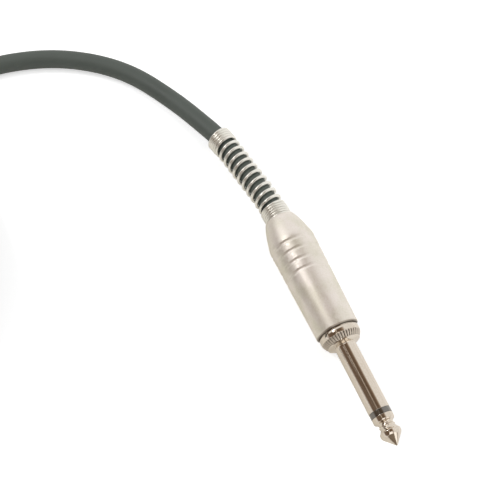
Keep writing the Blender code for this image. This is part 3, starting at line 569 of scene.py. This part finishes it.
def onto_plug(bm, plug, name, body, finish, replaced=()):
    """Puts a piece where its plug is, with its finish, and lets it ride on a body of the solid model."""
    where = bm.verts.layers.float_vector.new(ON_PLUG)
    for vert in bm.verts:
        vert[where] = vert.co
    bmesh.ops.transform(bm, matrix=PLUGS[plug], verts=bm.verts)
    piece = to_object(bm, f"{plug}_{name}")
    piece.data.materials.append(finish)
    piece.data.shade_smooth()
    piece.data.set_sharp_from_angle(angle=SHARP_ANGLE)
    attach(piece, body)
    if replaced:
        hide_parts(*[f"{plug}_{node}" for node in replaced])
    print(piece.name, "has", len(piece.data.polygons), "faces")
    return piece


# %% [markdown]
# ## The tip contact
# The tip is the most shapely piece of a phone plug. A cone leads it into the socket, the narrow waist
# behind the cone is where the socket's spring clicks in, and a collar stands against the insulating ring.
# Its rod runs back through the whole sleeve.

# %% Turn the tip
TIP_RADIUS = 3.12
nose = arc((0.0, 31.15), 0.35, 90, 47, 5)
shoulder = arc((1.65, 27.75), 1.45, 45, 0, 10)
rim = arc((2.88, 27.3), 0.22, 0, -60, 6)
flare = [(2.76, 26.85), (2.52, 26.5), (2.32, 26.18), (2.21, 25.95)]
bead = arc((2.12, 25.6), 0.27, 60, -60, 7)
neck = [(2.15, 25.2), (2.13, 24.98), (2.2, 24.76), (2.4, 24.52), (2.62, 24.38)]
collar = arc((2.46, 23.7), 0.66, 62, 0, 8)
tip_outline = nose + shoulder + rim + flare + bead + neck + collar
tip_outline += [(TIP_RADIUS, 23.3), (TIP_RADIUS, 22.7), (TIP_RADIUS, 22.55), (1.0, 22.55)]
tip_outline += [(1.0, -14.7), (1.7, -14.7), (1.7, -15.1), (1.0, -15.5), (0.0, -15.5)]
for plug in PLUGS:
    bm = lathe(tip_outline, steps=96)
    break_edges(bm, width=0.06, least_angle=40, low=20, high=30.9)
    onto_plug(bm, plug, "tip_contact", CABLE_BODY, polished_nickel, ["tip"])

# %% [markdown]
# ## The insulating ring
# The ring is a hair smaller than the metal on both sides, so it never drags in a socket.

# %% Turn the ring and its tube
ring_outline = [(1.3, 22.52), (3.13, 22.52), (3.13, 22.38), (3.13, 21.07), (3.13, 20.93)]
ring_outline += [(2.1, 20.93), (2.1, -12.1), (1.3, -12.1)]
for plug in PLUGS:
    bm = lathe(ring_outline, steps=96)
    break_edges(bm, width=0.05, least_angle=40, low=20, high=23)
    onto_plug(bm, plug, "insulating_ring", CABLE_BODY, insulator_plastic, ["insulator"])

# %% [markdown]
# ## The sleeve, its flange and its thread
# The sleeve is the long shaft of the plug. Behind it is a flange with milled teeth, which fingers hold
# while the barrel is screwed on, and a threaded hub that the barrel covers. The teeth come from the spun
# flange itself. It has eight points for each tooth: the one on the tooth's top stays, and the others are
# pressed inwards along a round, most of all the one in the valley. The same loop marks the whole band of
# teeth as milled, which makes it rougher and a little darker, and paints shade into the valleys.

# %% Turn the sleeve
TOOTH_COUNT = 42
TOOTH_DEPTH = 0.34
TOOTH_POINTS = 8
TEETH_FRONT, TEETH_BACK = -0.97, -2.53
MILLED, VALLEY_SHADE = 0.1, 0.9
toothed = [(4.99, -0.98), (5.22, -1.22), (5.47, -1.52), (5.66, -1.82), (5.81, -2.16), (5.91, -2.52)]
face = [(3.175, 0.34), (3.22, 0.16), (3.34, 0.04), (3.5, 0.0), (3.9, -0.02), (4.72, -0.5)]
face += [(4.93, -0.58), (4.99, -0.84)]
band = [(5.97, -2.6), (6.03, -2.9), (6.06, -3.4), (6.06, -4.1), (5.95, -4.28)]
neck = [(5.68, -4.3), (5.68, -4.62), (4.88, -4.62), (4.88, -11.0)]
shaft = [(2.4, 20.9), (3.175, 20.9), (3.175, 20.7), (3.175, 0.6)]
sleeve_outline = shaft + face + toothed + band + neck + [(2.4, -11.0)]
for plug in PLUGS:
    bm = lathe(sleeve_outline, steps=TOOTH_POINTS * TOOTH_COUNT)
    gap_shade = bm.verts.layers.float.new(IN_GROOVE)
    for vert in bm.verts:
        across = math.hypot(vert.co.x, vert.co.y)
        turn = math.atan2(vert.co.y, vert.co.x) / math.tau
        phase = round(turn * TOOTH_POINTS * TOOTH_COUNT) % TOOTH_POINTS
        aside = phase / (TOOTH_POINTS / 2) - 1  # -1 in the valley, 0 on top of the tooth
        if TEETH_BACK * MM < vert.co.z < TEETH_FRONT * MM:
            vert.co.xy *= 1 - TOOTH_DEPTH * MM * (1 - math.sqrt(1 - aside**2)) / across
            # Painted shade: darkest at the bottom of each valley, a little over the whole band.
            vert[gap_shade] = MILLED + VALLEY_SHADE * aside**4
    break_edges(bm, width=0.05, least_angle=50, low=20, high=21)
    onto_plug(bm, plug, "sleeve_contact", CABLE_BODY, polished_nickel, ["sleeve"])

# %% [markdown]
# A thread is a `spin` as well, of a small triangle that climbs one pitch on each turn. It shows when the
# barrel is unscrewed.

# %% Cut the thread on the hub
THREAD_PITCH = 1.0
THREAD_TURNS = 5
THREAD_STEPS = 64  # in one turn
for plug in PLUGS:
    bm = bmesh.new()
    corners = ((4.8, -10.7), (5.13, -10.35), (4.8, -10.0))
    ridge = [bm.verts.new((across * MM, 0, along * MM)) for across, along in corners]
    face = bm.faces.new(ridge)
    bmesh.ops.spin(
        bm,
        geom=[face] + face.edges[:] + ridge,
        axis=(0, 0, 1),
        cent=(0, 0, 0),
        dvec=(0, 0, THREAD_PITCH * MM / THREAD_STEPS),
        angle=math.tau * THREAD_TURNS,
        steps=THREAD_STEPS * THREAD_TURNS,
    )
    bmesh.ops.recalc_face_normals(bm, faces=bm.faces)
    onto_plug(bm, plug, "hub_thread", CABLE_BODY, polished_nickel)

# %% [markdown]
# ## The barrel
# The barrel is the handle of the plug. It swells slightly towards the cable, where four shallow grooves
# give the fingers a grip, and then a rounded shoulder leads down to the mouth that holds the spring.
# Smooth shading blends the directions of neighbouring faces, so an extra ring of points close behind the
# front edge keeps that edge's slant from bending the reflections all along the barrel. The shaft has such
# rings as well. The front face and the slant were cut after the blasting, so they are bright metal, with
# painted shade on them, darkest on the face, in the gap behind the flange.

# %% Turn the barrel
BARREL_FRONT, SHOULDER = -4.7, -35.6
CUT_EDGE = 0.38  # length of the slant at the front edge
EXTRA_RING = 0.55  # from the front edge
FACE_SHADE, SLANT_SHADE = 0.7, 0.2
GROOVES = (-24.4, -27.6, -30.9, -34.1)
GROOVE_REACH, GROOVE_DEPTH = 0.7484, 0.17
GROOVE_SHAPE = ((1.0, 0.0), (0.78, 0.0), (0.5, 1.0), (-0.5, 1.0), (-0.78, 0.0), (-1.0, 0.0))


def barrel_radius(along):
    """The barrel's outside radius in mm, from its front edge to its shoulder."""
    return 6.5 + 0.7 * (BARREL_FRONT - along) / (BARREL_FRONT - SHOULDER)


barrel_outline = [(5.2, BARREL_FRONT), (6.18, BARREL_FRONT), (6.5, BARREL_FRONT - CUT_EDGE)]
barrel_outline.append((barrel_radius(BARREL_FRONT - EXTRA_RING), BARREL_FRONT - EXTRA_RING))
for middle in GROOVES:
    for share, depth in GROOVE_SHAPE:
        along = middle + share * GROOVE_REACH
        barrel_outline.append((barrel_radius(along) - depth * GROOVE_DEPTH, along))
barrel_outline += [(7.19, -35.3), (7.13, -35.9), (6.98, -36.6), (6.5, -38.6), (6.12, -40.1), (5.88, -41.0)]
barrel_outline += [(5.62, -41.8), (5.34, -42.6), (5.05, -43.3), (4.86, -43.75), (4.75, -44.0), (4.55, -44.0)]
barrel_outline += [(4.55, -40.6), (5.05, -40.6), (5.05, -35.6), (5.75, -35.6), (5.75, -11.8), (5.2, -11.8)]
for plug in PLUGS:
    bm = lathe(barrel_outline, steps=144)
    gap_shade = bm.verts.layers.float.new(IN_GROOVE)
    for facet in bm.faces:
        if facet.calc_center_median().z > (BARREL_FRONT - CUT_EDGE) * MM and facet.normal.z > 0.2:
            facet.material_index = 1
            # Painted shade on the front face and the slant, in the gap behind the flange.
            for vert in facet.verts:
                on_face = vert.co.z > (BARREL_FRONT - 0.1) * MM
                vert[gap_shade] = FACE_SHADE if on_face else SLANT_SHADE
    shell = onto_plug(bm, plug, "barrel_shell", f"{plug}_barrel", satin_nickel, ["barrel"])
    shell.data.materials.append(polished_nickel)

# %% [markdown]
# ## The spring
# The spring is one wire wound round the cable. It is wound close where it leaves the barrel and at its far
# end, and open in between, so that the cable can bend but never kink. In the photograph its open turns
# look stouter than the closed ones, so the wire's thickness changes on the way. The curve through the
# cable gives the middle of each turn, and two directions at right angles to it carry the wire round.

# %% Wind the springs
MOUTH_AT = JACKET_START - BARREL_MOUTH
SPRING_LENGTH = 36.9 * MM
TURNS = (0, 12, 13, 22, 23, 27.5)  # counted from the seat turn, which stays inside the barrel
REACHED = (-5.2, 4.3, 6.4, 30.15, 32.45, 36.55)  # mm along the cable from the barrel's mouth
OUTSIDE_TURNS, OUTSIDES = (0.9, 1.3, 11.8, 12.4, 22.6, 23.2), (4.75, 4.3, 4.3, 4.12, 4.12, 4.27)
WIRE_TURNS, WIRE_RADII = (11.8, 12.4, 22.6, 23.2), (0.395, 0.53, 0.53, 0.46)
CURL_POINTS = 40  # in one turn
FIRST_ANGLE = math.radians(-18)
NEARBY = 0.2 * MM


def spring_path(line):
    """Points along the middle of the wire, from the seat turn to the far end, and its radius there in mm."""
    path = []
    for step in range(round(TURNS[-1] * CURL_POINTS) + 1):
        turn = step / CURL_POINTS
        distance = MOUTH_AT + float(np.interp(turn, TURNS, REACHED)) * MM
        thick = float(np.interp(turn, WIRE_TURNS, WIRE_RADII))
        radius = (float(np.interp(turn, OUTSIDE_TURNS, OUTSIDES)) - thick) * MM
        ahead = (line(distance + NEARBY) - line(distance - NEARBY)).normalized()
        side = ahead.cross(Vector((0, 0, 1))).normalized()
        above = side.cross(ahead)
        angle = FIRST_ANGLE + math.tau * turn
        path.append((line(distance) + radius * (math.cos(angle) * above + math.sin(angle) * side), thick))
    return path


for plug, line in (("near", near_line), ("far", far_line)):
    points, radii_mm = zip(*spring_path(line))
    draft = round_length(f"{plug}_spring_draft", depth=1 * MM, resolution=4, points=points, widths=radii_mm)
    mesh = bpy.data.meshes.new_from_object(draft.evaluated_get(bpy.context.evaluated_depsgraph_get()))
    bpy.data.objects.remove(draft)
    mesh.name = f"{plug}_strain_relief_spring"
    mesh.materials.clear()
    mesh.materials.append(spring_wire)
    mesh.shade_smooth()
    spring = bpy.data.objects.new(mesh.name, mesh)
    bpy.context.scene.collection.objects.link(spring)
    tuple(line(MOUTH_AT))
    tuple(line(MOUTH_AT + SPRING_LENGTH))
    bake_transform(spring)
    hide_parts(f"{plug}_spring")
    print(spring.name, TURNS[-1], "turns,", len(mesh.polygons), "faces")

# %% [markdown]
# ## The strap round the coil
# A strip of woven nylon holds the coil together. It goes once round all the turns, and its end grips its
# own back with tiny hooks. One row of vertices across the strap, extruded a step at a time along the
# route, gives a grid that knows how far along and across it each point is, which is what a weave needs. A
# Solidify modifier gives it its thickness. The weave has a thread every 0.6 mm: two sets of waves at right
# angles, and a checkerboard that says which of them lies on top.

# %% Woven nylon
ON_STRAP = "place_on_strap"
THREAD = 0.6 * MM
ONE_WAVE = {"Scale": math.pi / 10}  # at this scale a Wave texture repeats once for each thread
woven_nylon, tree = new_finish("woven_hook_and_loop_nylon")
where = add(tree, "Attribute", attribute_name=ON_STRAP)
threads = add(tree, "Mapping", {"Scale": [1 / THREAD] * 3}, {"Vector": where.outputs["Vector"]})
counted = {"Vector": threads.outputs[0]}
warp = add(tree, "TexWave", ONE_WAVE, counted, bands_direction="X")
weft = add(tree, "TexWave", ONE_WAVE, counted, bands_direction="Y")
over_under = add(tree, "TexChecker", {"Scale": 1.0}, counted)
raised = add(
    tree,
    "Mix",
    links={0: over_under.outputs["Fac"], 2: warp.outputs["Fac"], 3: weft.outputs["Fac"]},
    data_type="FLOAT",
)
fuzz = add(tree, "TexNoise", {"Scale": 0.5, "Detail": 5.0}, counted)
# The weave's low parts are darker than its raised threads: painted shade between the threads.
tint = add(
    tree, "Mix", {6: linear("#19191B"), 7: linear("#303033")}, {0: raised.outputs[0]}, data_type="RGBA"
)
rough = add(tree, "MapRange", {"To Min": 0.7, "To Max": 0.92}, {"Value": fuzz.outputs["Fac"]})
bump = add(tree, "Bump", {"Strength": 0.8, "Distance": 0.15 * MM}, {"Height": raised.outputs[0]})
complete(
    woven_nylon,
    {"Sheen Weight": 0.25},
    {"Base Color": tint.outputs[2], "Roughness": rough.outputs[0], "Normal": bump.outputs[0]},
)

# %% Wrap the strap
STRAP_WIDTH, STRAP_THICKNESS, STRAP_OVERLAP = 12 * MM, 0.9 * MM, 14 * MM
STRAP_CORNER = 3.5 * MM
STRAP_STEP = 0.7 * MM
STRAP_RISE = 5 * MM  # the length over which its end climbs onto its own back
STRAP_GAP = 0.05 * MM
STRAP_ROW = (-0.5, -0.47, -0.25, 0, 0.25, 0.47, 0.5)  # shares of its width
STRAP_ANGLE = math.radians(35)
outward = Vector((math.cos(STRAP_ANGLE), math.sin(STRAP_ANGLE), 0))
along_cable = Vector((-math.sin(STRAP_ANGLE), math.cos(STRAP_ANGLE), 0))
from_centre = [point - COIL_CENTRE for point in coil]
crossing = [
    (point.dot(outward), point.z)
    for point in from_centre
    if point.dot(outward) > 0 and abs(point.dot(along_cable)) < STRAP_WIDTH
]
reach = CABLE_DIAMETER / 2 + CLEARANCE + STRAP_THICKNESS / 2 - STRAP_CORNER
inner, outer = (pick(c[0] for c in crossing) for pick in (min, max))
bottom, top = (pick(c[1] for c in crossing) for pick in (min, max))
loop = [(inner + 0.3 * (outer - inner), top + reach + STRAP_CORNER)]
for start, x, z in ((90, outer, top), (0, outer, bottom), (-90, inner, bottom), (-180, inner, top)):
    corner = (x + (reach if x == outer else -reach), z + (reach if z == top else -reach))
    loop += arc(corner, STRAP_CORNER, start, start - 90, 9)
loop.append(loop[0])
loop.append((loop[0][0] + STRAP_OVERLAP, loop[0][1]))
loop = np.array(loop)
passed = np.concatenate([[0.0], np.cumsum(np.linalg.norm(np.diff(loop, axis=0), axis=1))])
once_round = float(passed[-2])
route = []
for distance in np.arange(0.0, float(passed[-1]), STRAP_STEP).tolist():
    x, z = (float(np.interp(distance, passed, loop[:, axis])) for axis in range(2))
    lifted = min(max((distance - once_round + STRAP_RISE) / STRAP_RISE, 0.0), 1.0)
    z += (3 * lifted**2 - 2 * lifted**3) * (STRAP_THICKNESS + STRAP_GAP)
    route.append(COIL_CENTRE + x * outward + Vector((0, 0, z)))

bm = bmesh.new()
weave = bm.verts.layers.float_vector.new(ON_STRAP)
row = [bm.verts.new(route[0] + share * STRAP_WIDTH * along_cable) for share in STRAP_ROW]
front = [bm.edges.new(pair) for pair in zip(row, row[1:])]
for steps, (here, there) in enumerate(zip(route, route[1:]), start=1):
    grown = bmesh.ops.extrude_edge_only(bm, edges=front)["geom"]
    row = [item for item in grown if isinstance(item, bmesh.types.BMVert)]
    front = [item for item in grown if isinstance(item, bmesh.types.BMEdge) and set(item.verts) <= set(row)]
    bmesh.ops.translate(bm, vec=there - here, verts=row)
    for vert in row:
        vert[weave] = ((vert.co - COIL_CENTRE).dot(along_cable), STRAP_STEP * steps, 0)
bmesh.ops.recalc_face_normals(bm, faces=bm.faces)
strap = to_object(bm, "coil_strap")
strap.data.materials.append(woven_nylon)
strap.data.shade_smooth()
wall = strap.modifiers.new("strap_thickness", "SOLIDIFY")
wall.thickness, wall.offset = STRAP_THICKNESS, 0.0
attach(strap, CABLE_BODY)
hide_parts("coil_tie")
print("strap:", round(once_round / MM), "mm round the coil")

# %% [markdown]
# ## The pieces inside the barrel
# These keep the solid model's shapes, and show when the barrel is unscrewed. The washer between the two
# solder tags is vulcanised fibre: paper pressed to a hard brick-red sheet, with a matt, slightly fibrous
# face. The tags are stamped from brass and tinned, so they are a pale, soft grey metal with rolling marks.
# The liner is black sheet plastic, smooth enough to shine. Under the jacket, natural polyethylene looks
# like candle wax, bare copper shows the streaks of its strands, and the solder has frozen bright with a
# frosty skin.


# %% A finish for a small inner piece
def inner_finish(name, dark, light, grain_mm, roughness, numbers):
    """A finish whose colour, gloss and relief follow one noise, with a grain size along each axis in mm."""
    material, tree = new_finish(name)
    place = add(tree, "TexCoord").outputs["Object"]
    scales = {"Scale": [1 / (size * MM) for size in grain_mm]}
    scaled = add(tree, "Mapping", scales, {"Vector": place})
    grain = add(tree, "TexNoise", {"Scale": 1.0, "Detail": 4.0}, {"Vector": scaled.outputs[0]})
    tint = add(tree, "Mix", {6: linear(dark), 7: linear(light)}, {0: grain.outputs["Fac"]}, data_type="RGBA")
    gloss = add(
        tree,
        "MapRange",
        {"From Min": 0.3, "From Max": 0.7, "To Min": roughness[0], "To Max": roughness[1]},
        {"Value": grain.outputs["Fac"]},
    )
    bump = add(tree, "Bump", {"Strength": 0.4, "Distance": 0.02 * MM}, {"Height": grain.outputs["Fac"]})
    links = {"Base Color": tint.outputs[2], "Roughness": gloss.outputs[0], "Normal": bump.outputs[0]}
    complete(material, numbers, links)
    return material


# %% Dress the inner pieces
METAL, PLASTIC = {"Metallic": 1.0}, {"IOR": 1.5}
WAXY = {"Subsurface Weight": 0.25, "Subsurface Scale": 0.5 * MM}
fibre = inner_finish("pressed_vulcanised_fibre", "#6E3325", "#935040", (0.3,) * 3, (0.5, 0.66), PLASTIC)
tinned = inner_finish("stamped_tinned_brass", "#B9B4A8", "#CFCAC0", (1.5, 0.25, 0.25), (0.22, 0.38), METAL)
sheet = inner_finish("rolled_black_pvc_sheet", "#202021", "#2C2C2D", (1.0,) * 3, (0.18, 0.28), {"IOR": 1.53})
wax = inner_finish(
    "extruded_natural_polyethylene", "#D8D7CB", "#E6E5DC", (0.8,) * 3, (0.35, 0.5), {**PLASTIC, **WAXY}
)
copper = inner_finish("bare_drawn_copper", "#C27B55", "#EBAB86", (2.0, 0.16, 0.16), (0.2, 0.38), METAL)
solder = inner_finish("frozen_tin_solder", "#BEBEBC", "#D6D6D4", (0.5,) * 3, (0.15, 0.35), METAL)
INNER_PIECES = {
    "fibre_washer": fibre,
    "tip_lug": tinned,
    "cable_clamp": tinned,
    "liner": sheet,
    "core": wax,
    "core_strands": copper,
    "shield_pigtail": copper,
    "tip_solder": solder,
    "shield_solder": solder,
}
for plug in PLUGS:
    for piece_name, finish in INNER_PIECES.items():
        for surface in nodes[f"{plug}_{piece_name}"].material_slots:
            surface.material = finish
print("finished:", len(PLUGS) * len(INNER_PIECES), "inner pieces")

# %% [markdown]
# ## Table and light
# The photograph is a product picture on pure white. A white floor would do it, but a floor that is bright
# enough to clip leaves no shadow. So the camera and the reflections see a floor that glows a little, and
# the light that the object gets stays plain. Further off, where the lamps do not reach, the floor glows
# more for the camera, so a low view has no grey horizon. In the photograph the cone of the tip mirrors a
# dark patch with a bright strip beside it, which stood ahead of it. Half of that patch would be the
# floor's, so one helper gives it to the floor and to the world, and only reflections see it.

# %% What the tip faces
BRIGHT_STRIP = (1.5, 1.46, 1.4, 1.0)  # brighter than paper, as a lamp's face is


def seen_from_tip(tree, heading):
    """Colours for directions ahead of the tip: a dark patch in the middle and a bright strip beside it."""
    turned = add(
        tree, "MapRange", {"From Min": math.radians(-90), "From Max": math.radians(90)}, {"Value": heading}
    )
    patches = add(tree, "ValToRGB", links={"Fac": turned.outputs["Result"]})
    ramp = patches.color_ramp
    ramp.elements[0].position, ramp.elements[0].color = 0.315, linear("#ECE8E0")
    ramp.elements[1].position, ramp.elements[1].color = 0.345, linear("#857869")
    for degrees, colour in (
        (16, linear("#8D7F70")),
        (19, BRIGHT_STRIP),
        (34, BRIGHT_STRIP),
        (40, linear("#BBB1A6")),
        (55, linear("#FFFDFA")),
    ):
        ramp.elements.new(0.5 + degrees / 180).color = colour
    return patches


# %% White floor
FLOOR_REACH = 3.0
FLOOR_DROP = 0.05 * MM  # below the cable, so that nothing lies in it
CAMERA_GLOW, FAR_GLOW = 0.55, 0.9
MIRRORED_GLOW = 0.17
GLOW_RISES = 0.35, 0.6  # between these distances from the near plug
TIP_AT = 37 * MM
bm = bmesh.new()
bmesh.ops.create_grid(bm, x_segments=1, y_segments=1, size=FLOOR_REACH)
bmesh.ops.translate(bm, vec=(0, 0, -FLOOR_DROP), verts=bm.verts)
floor = to_object(bm, "white_floor")

paper, tree = new_finish("white_paper")
path_kind = add(tree, "LightPath")
mirrored = add(
    tree,
    "Math",
    links={0: path_kind.outputs["Is Glossy Ray"], 1: path_kind.outputs["Is Transmission Ray"]},
    operation="MAXIMUM",
)
weak_glow = add(tree, "Math", {1: MIRRORED_GLOW}, {0: mirrored.outputs[0]}, operation="MULTIPLY")
place = add(tree, "TexCoord").outputs["Object"]
distance = add(tree, "VectorMath", links={0: place}, operation="LENGTH")
whitening = add(
    tree,
    "MapRange",
    {"From Min": GLOW_RISES[0], "From Max": GLOW_RISES[1], "To Min": CAMERA_GLOW, "To Max": FAR_GLOW},
    {"Value": distance.outputs["Value"]},
)
seen = path_kind.outputs["Is Camera Ray"]
glow = add(
    tree,
    "Math",
    links={0: seen, 1: whitening.outputs["Result"], 2: weak_glow.outputs[0]},
    operation="MULTIPLY_ADD",
)
spot = add(tree, "SeparateXYZ", links={"Vector": place})
past_tip = add(tree, "Math", {1: TIP_AT}, {0: spot.outputs["X"]}, operation="SUBTRACT")
heading = add(tree, "Math", links={0: spot.outputs["Y"], 1: past_tip.outputs[0]}, operation="ARCTAN2")
patches = seen_from_tip(tree, heading.outputs[0])
sockets = {"Emission Strength": glow.outputs[0]}
for socket, plain in (("Base Color", "#E8E8E8"), ("Emission Color", "#FFFFFF")):
    mixed = add(
        tree,
        "Mix",
        {6: linear(plain)},
        {0: path_kind.outputs["Is Glossy Ray"], 7: patches.outputs["Color"]},
        data_type="RGBA",
    )
    sockets[socket] = mixed.outputs[2]
complete(paper, {"Roughness": 0.9, "Specular IOR Level": 0.0}, sockets)
floor.data.materials.append(paper)
print("floor:", round(2 * FLOOR_REACH), "m on each side, finish", paper.name)

# %% [markdown]
# Polished metal shows the room, not itself. The photograph's shaft is bright at both sides with a dark
# brown band between them: the plug faced bright panels left and right, with a dark gap overhead where the
# camera stood, and one narrow lamp in that gap. The world is built the same way, from the angle round the
# plug's long axis, and only reflections see it. Two other places have colours of their own. Towards the
# cable most of the room is bright, which the barrel's rounded shoulder mirrors. Ahead of the tip are the
# patches from above.

# %% Bright panels and the dark gap between them
SKY_LIGHT = 0.40
world = bpy.data.worlds.new("studio")
world.use_nodes = True
bpy.context.scene.world = world
tree = world.node_tree
tree.nodes.clear()
facing = add(tree, "TexCoord").outputs["Generated"]
parts = add(tree, "SeparateXYZ", links={"Vector": facing})
round_angle = add(tree, "Math", links={0: parts.outputs["Z"], 1: parts.outputs["Y"]}, operation="ARCTAN2")
bands = add(
    tree,
    "MapRange",
    {"From Min": math.radians(60), "From Max": math.radians(180)},
    {"Value": round_angle.outputs[0]},
)
panels = add(tree, "ValToRGB", links={"Fac": bands.outputs["Result"]})
ramp = panels.color_ramp
ramp.elements[0].position, ramp.elements[0].color = 0.03, linear("#FFFDFA")
ramp.elements[1].position, ramp.elements[1].color = 0.10, linear("#AD9A8A")
for position, colour in (
    (0.19, "#75614F"),
    (0.385, "#6B594A"),
    (0.41, "#D8CCBE"),
    (0.435, "#D8CCBE"),
    (0.46, "#685544"),
    (0.82, "#7C695A"),
    (0.92, "#FFFDFA"),
):
    ramp.elements.new(position).color = linear(colour)
lengthwise = add(tree, "MapRange", {"From Min": -1.0, "From Max": 1.0}, {"Value": parts.outputs["X"]})
ends = add(tree, "ValToRGB", links={"Fac": lengthwise.outputs["Result"]})
ends.color_ramp.elements[0].position, ends.color_ramp.elements[0].color = 0.235, (1, 1, 1, 1)
ends.color_ramp.elements[1].position, ends.color_ramp.elements[1].color = 0.28, (0, 0, 0, 1)
cablewards = add(tree, "ValToRGB", links={"Fac": bands.outputs["Result"]})
cablewards.color_ramp.elements[0].position, cablewards.color_ramp.elements[0].color = 0.78, linear("#FFFDFA")
cablewards.color_ramp.elements[1].position, cablewards.color_ramp.elements[1].color = 0.86, linear("#6E5B4B")
closed = add(
    tree,
    "Mix",
    links={0: ends.outputs["Color"], 6: panels.outputs["Color"], 7: cablewards.outputs["Color"]},
    data_type="RGBA",
)
heading = add(tree, "Math", links={0: parts.outputs["Y"], 1: parts.outputs["X"]}, operation="ARCTAN2")
ahead = seen_from_tip(tree, heading.outputs[0])
tipwards = add(tree, "MapRange", {"From Min": 0.70, "From Max": 0.82}, {"Value": parts.outputs["X"]})
all_round = add(
    tree,
    "Mix",
    links={0: tipwards.outputs["Result"], 6: closed.outputs[2], 7: ahead.outputs["Color"]},
    data_type="RGBA",
)
path_kind = add(tree, "LightPath")
mirrored = add(
    tree,
    "Mix",
    {6: (1.0, 1.0, 1.0, 1.0)},
    {0: path_kind.outputs["Is Glossy Ray"], 7: all_round.outputs[2]},
    data_type="RGBA",
)
seen_white = add(
    tree,
    "Math",
    links={0: path_kind.outputs["Is Camera Ray"], 1: path_kind.outputs["Is Glossy Ray"]},
    operation="MAXIMUM",
)
brightness = add(tree, "MapRange", {"To Min": SKY_LIGHT, "To Max": 1.0}, {"Value": seen_white.outputs[0]})
sky = add(tree, "Background", links={"Color": mirrored.outputs[2], "Strength": brightness.outputs["Result"]})
add(tree, "OutputWorld", links={"Surface": sky.outputs[0]})
print("world:", len(tree.nodes), "nodes")

# %% [markdown]
# Four area lamps do the lighting. Two large soft boxes, from behind and from the camera's side, light the
# whole object evenly. They show in no reflection, because the world already holds what the metal mirrors.
# A strip high over the cable does show: it draws the broad highlight along the barrel. It ends well behind
# the plug, or it would draw a white line on the shaft too. The last is a small card above and ahead of the
# tip. It lights nothing, and only its mirror image sparkles in the flange's teeth.


# %% Lamps
def soft_lamp(name, size, place_mm, power, mirrored=False):
    """A lamp aimed at the plug, its size in metres along and across. Metal shows only a mirrored one."""
    lamp = bpy.data.lights.new(name, "AREA")
    lamp.shape, lamp.energy = "RECTANGLE", power
    lamp.size, lamp.size_y = size
    thing = bpy.data.objects.new(name, lamp)
    thing.location = Vector(place_mm) * MM
    away = (thing.location - LOOK_AT).normalized()
    across = away.cross(Vector((1, 0, 0))).normalized()
    thing.rotation_euler = Matrix((across.cross(away), across, away)).transposed().to_euler()
    thing.visible_glossy = mirrored
    thing.visible_camera = False
    bpy.context.scene.collection.objects.link(thing)
    return thing


soft_lamp("key_softbox", (0.5, 0.5), (150, 420, 520), 1.8)
soft_lamp("fill_softbox", (0.6, 0.6), (-200, -500, 450), 0.8)
soft_lamp("overhead_strip", (0.19, 0.06), (-318, -314, 492), 0.85, mirrored=True)
flange_card = soft_lamp("flange_card", (0.08, 0.05), (78, -12, 84), 0.016, mirrored=True)
flange_card.visible_diffuse = False
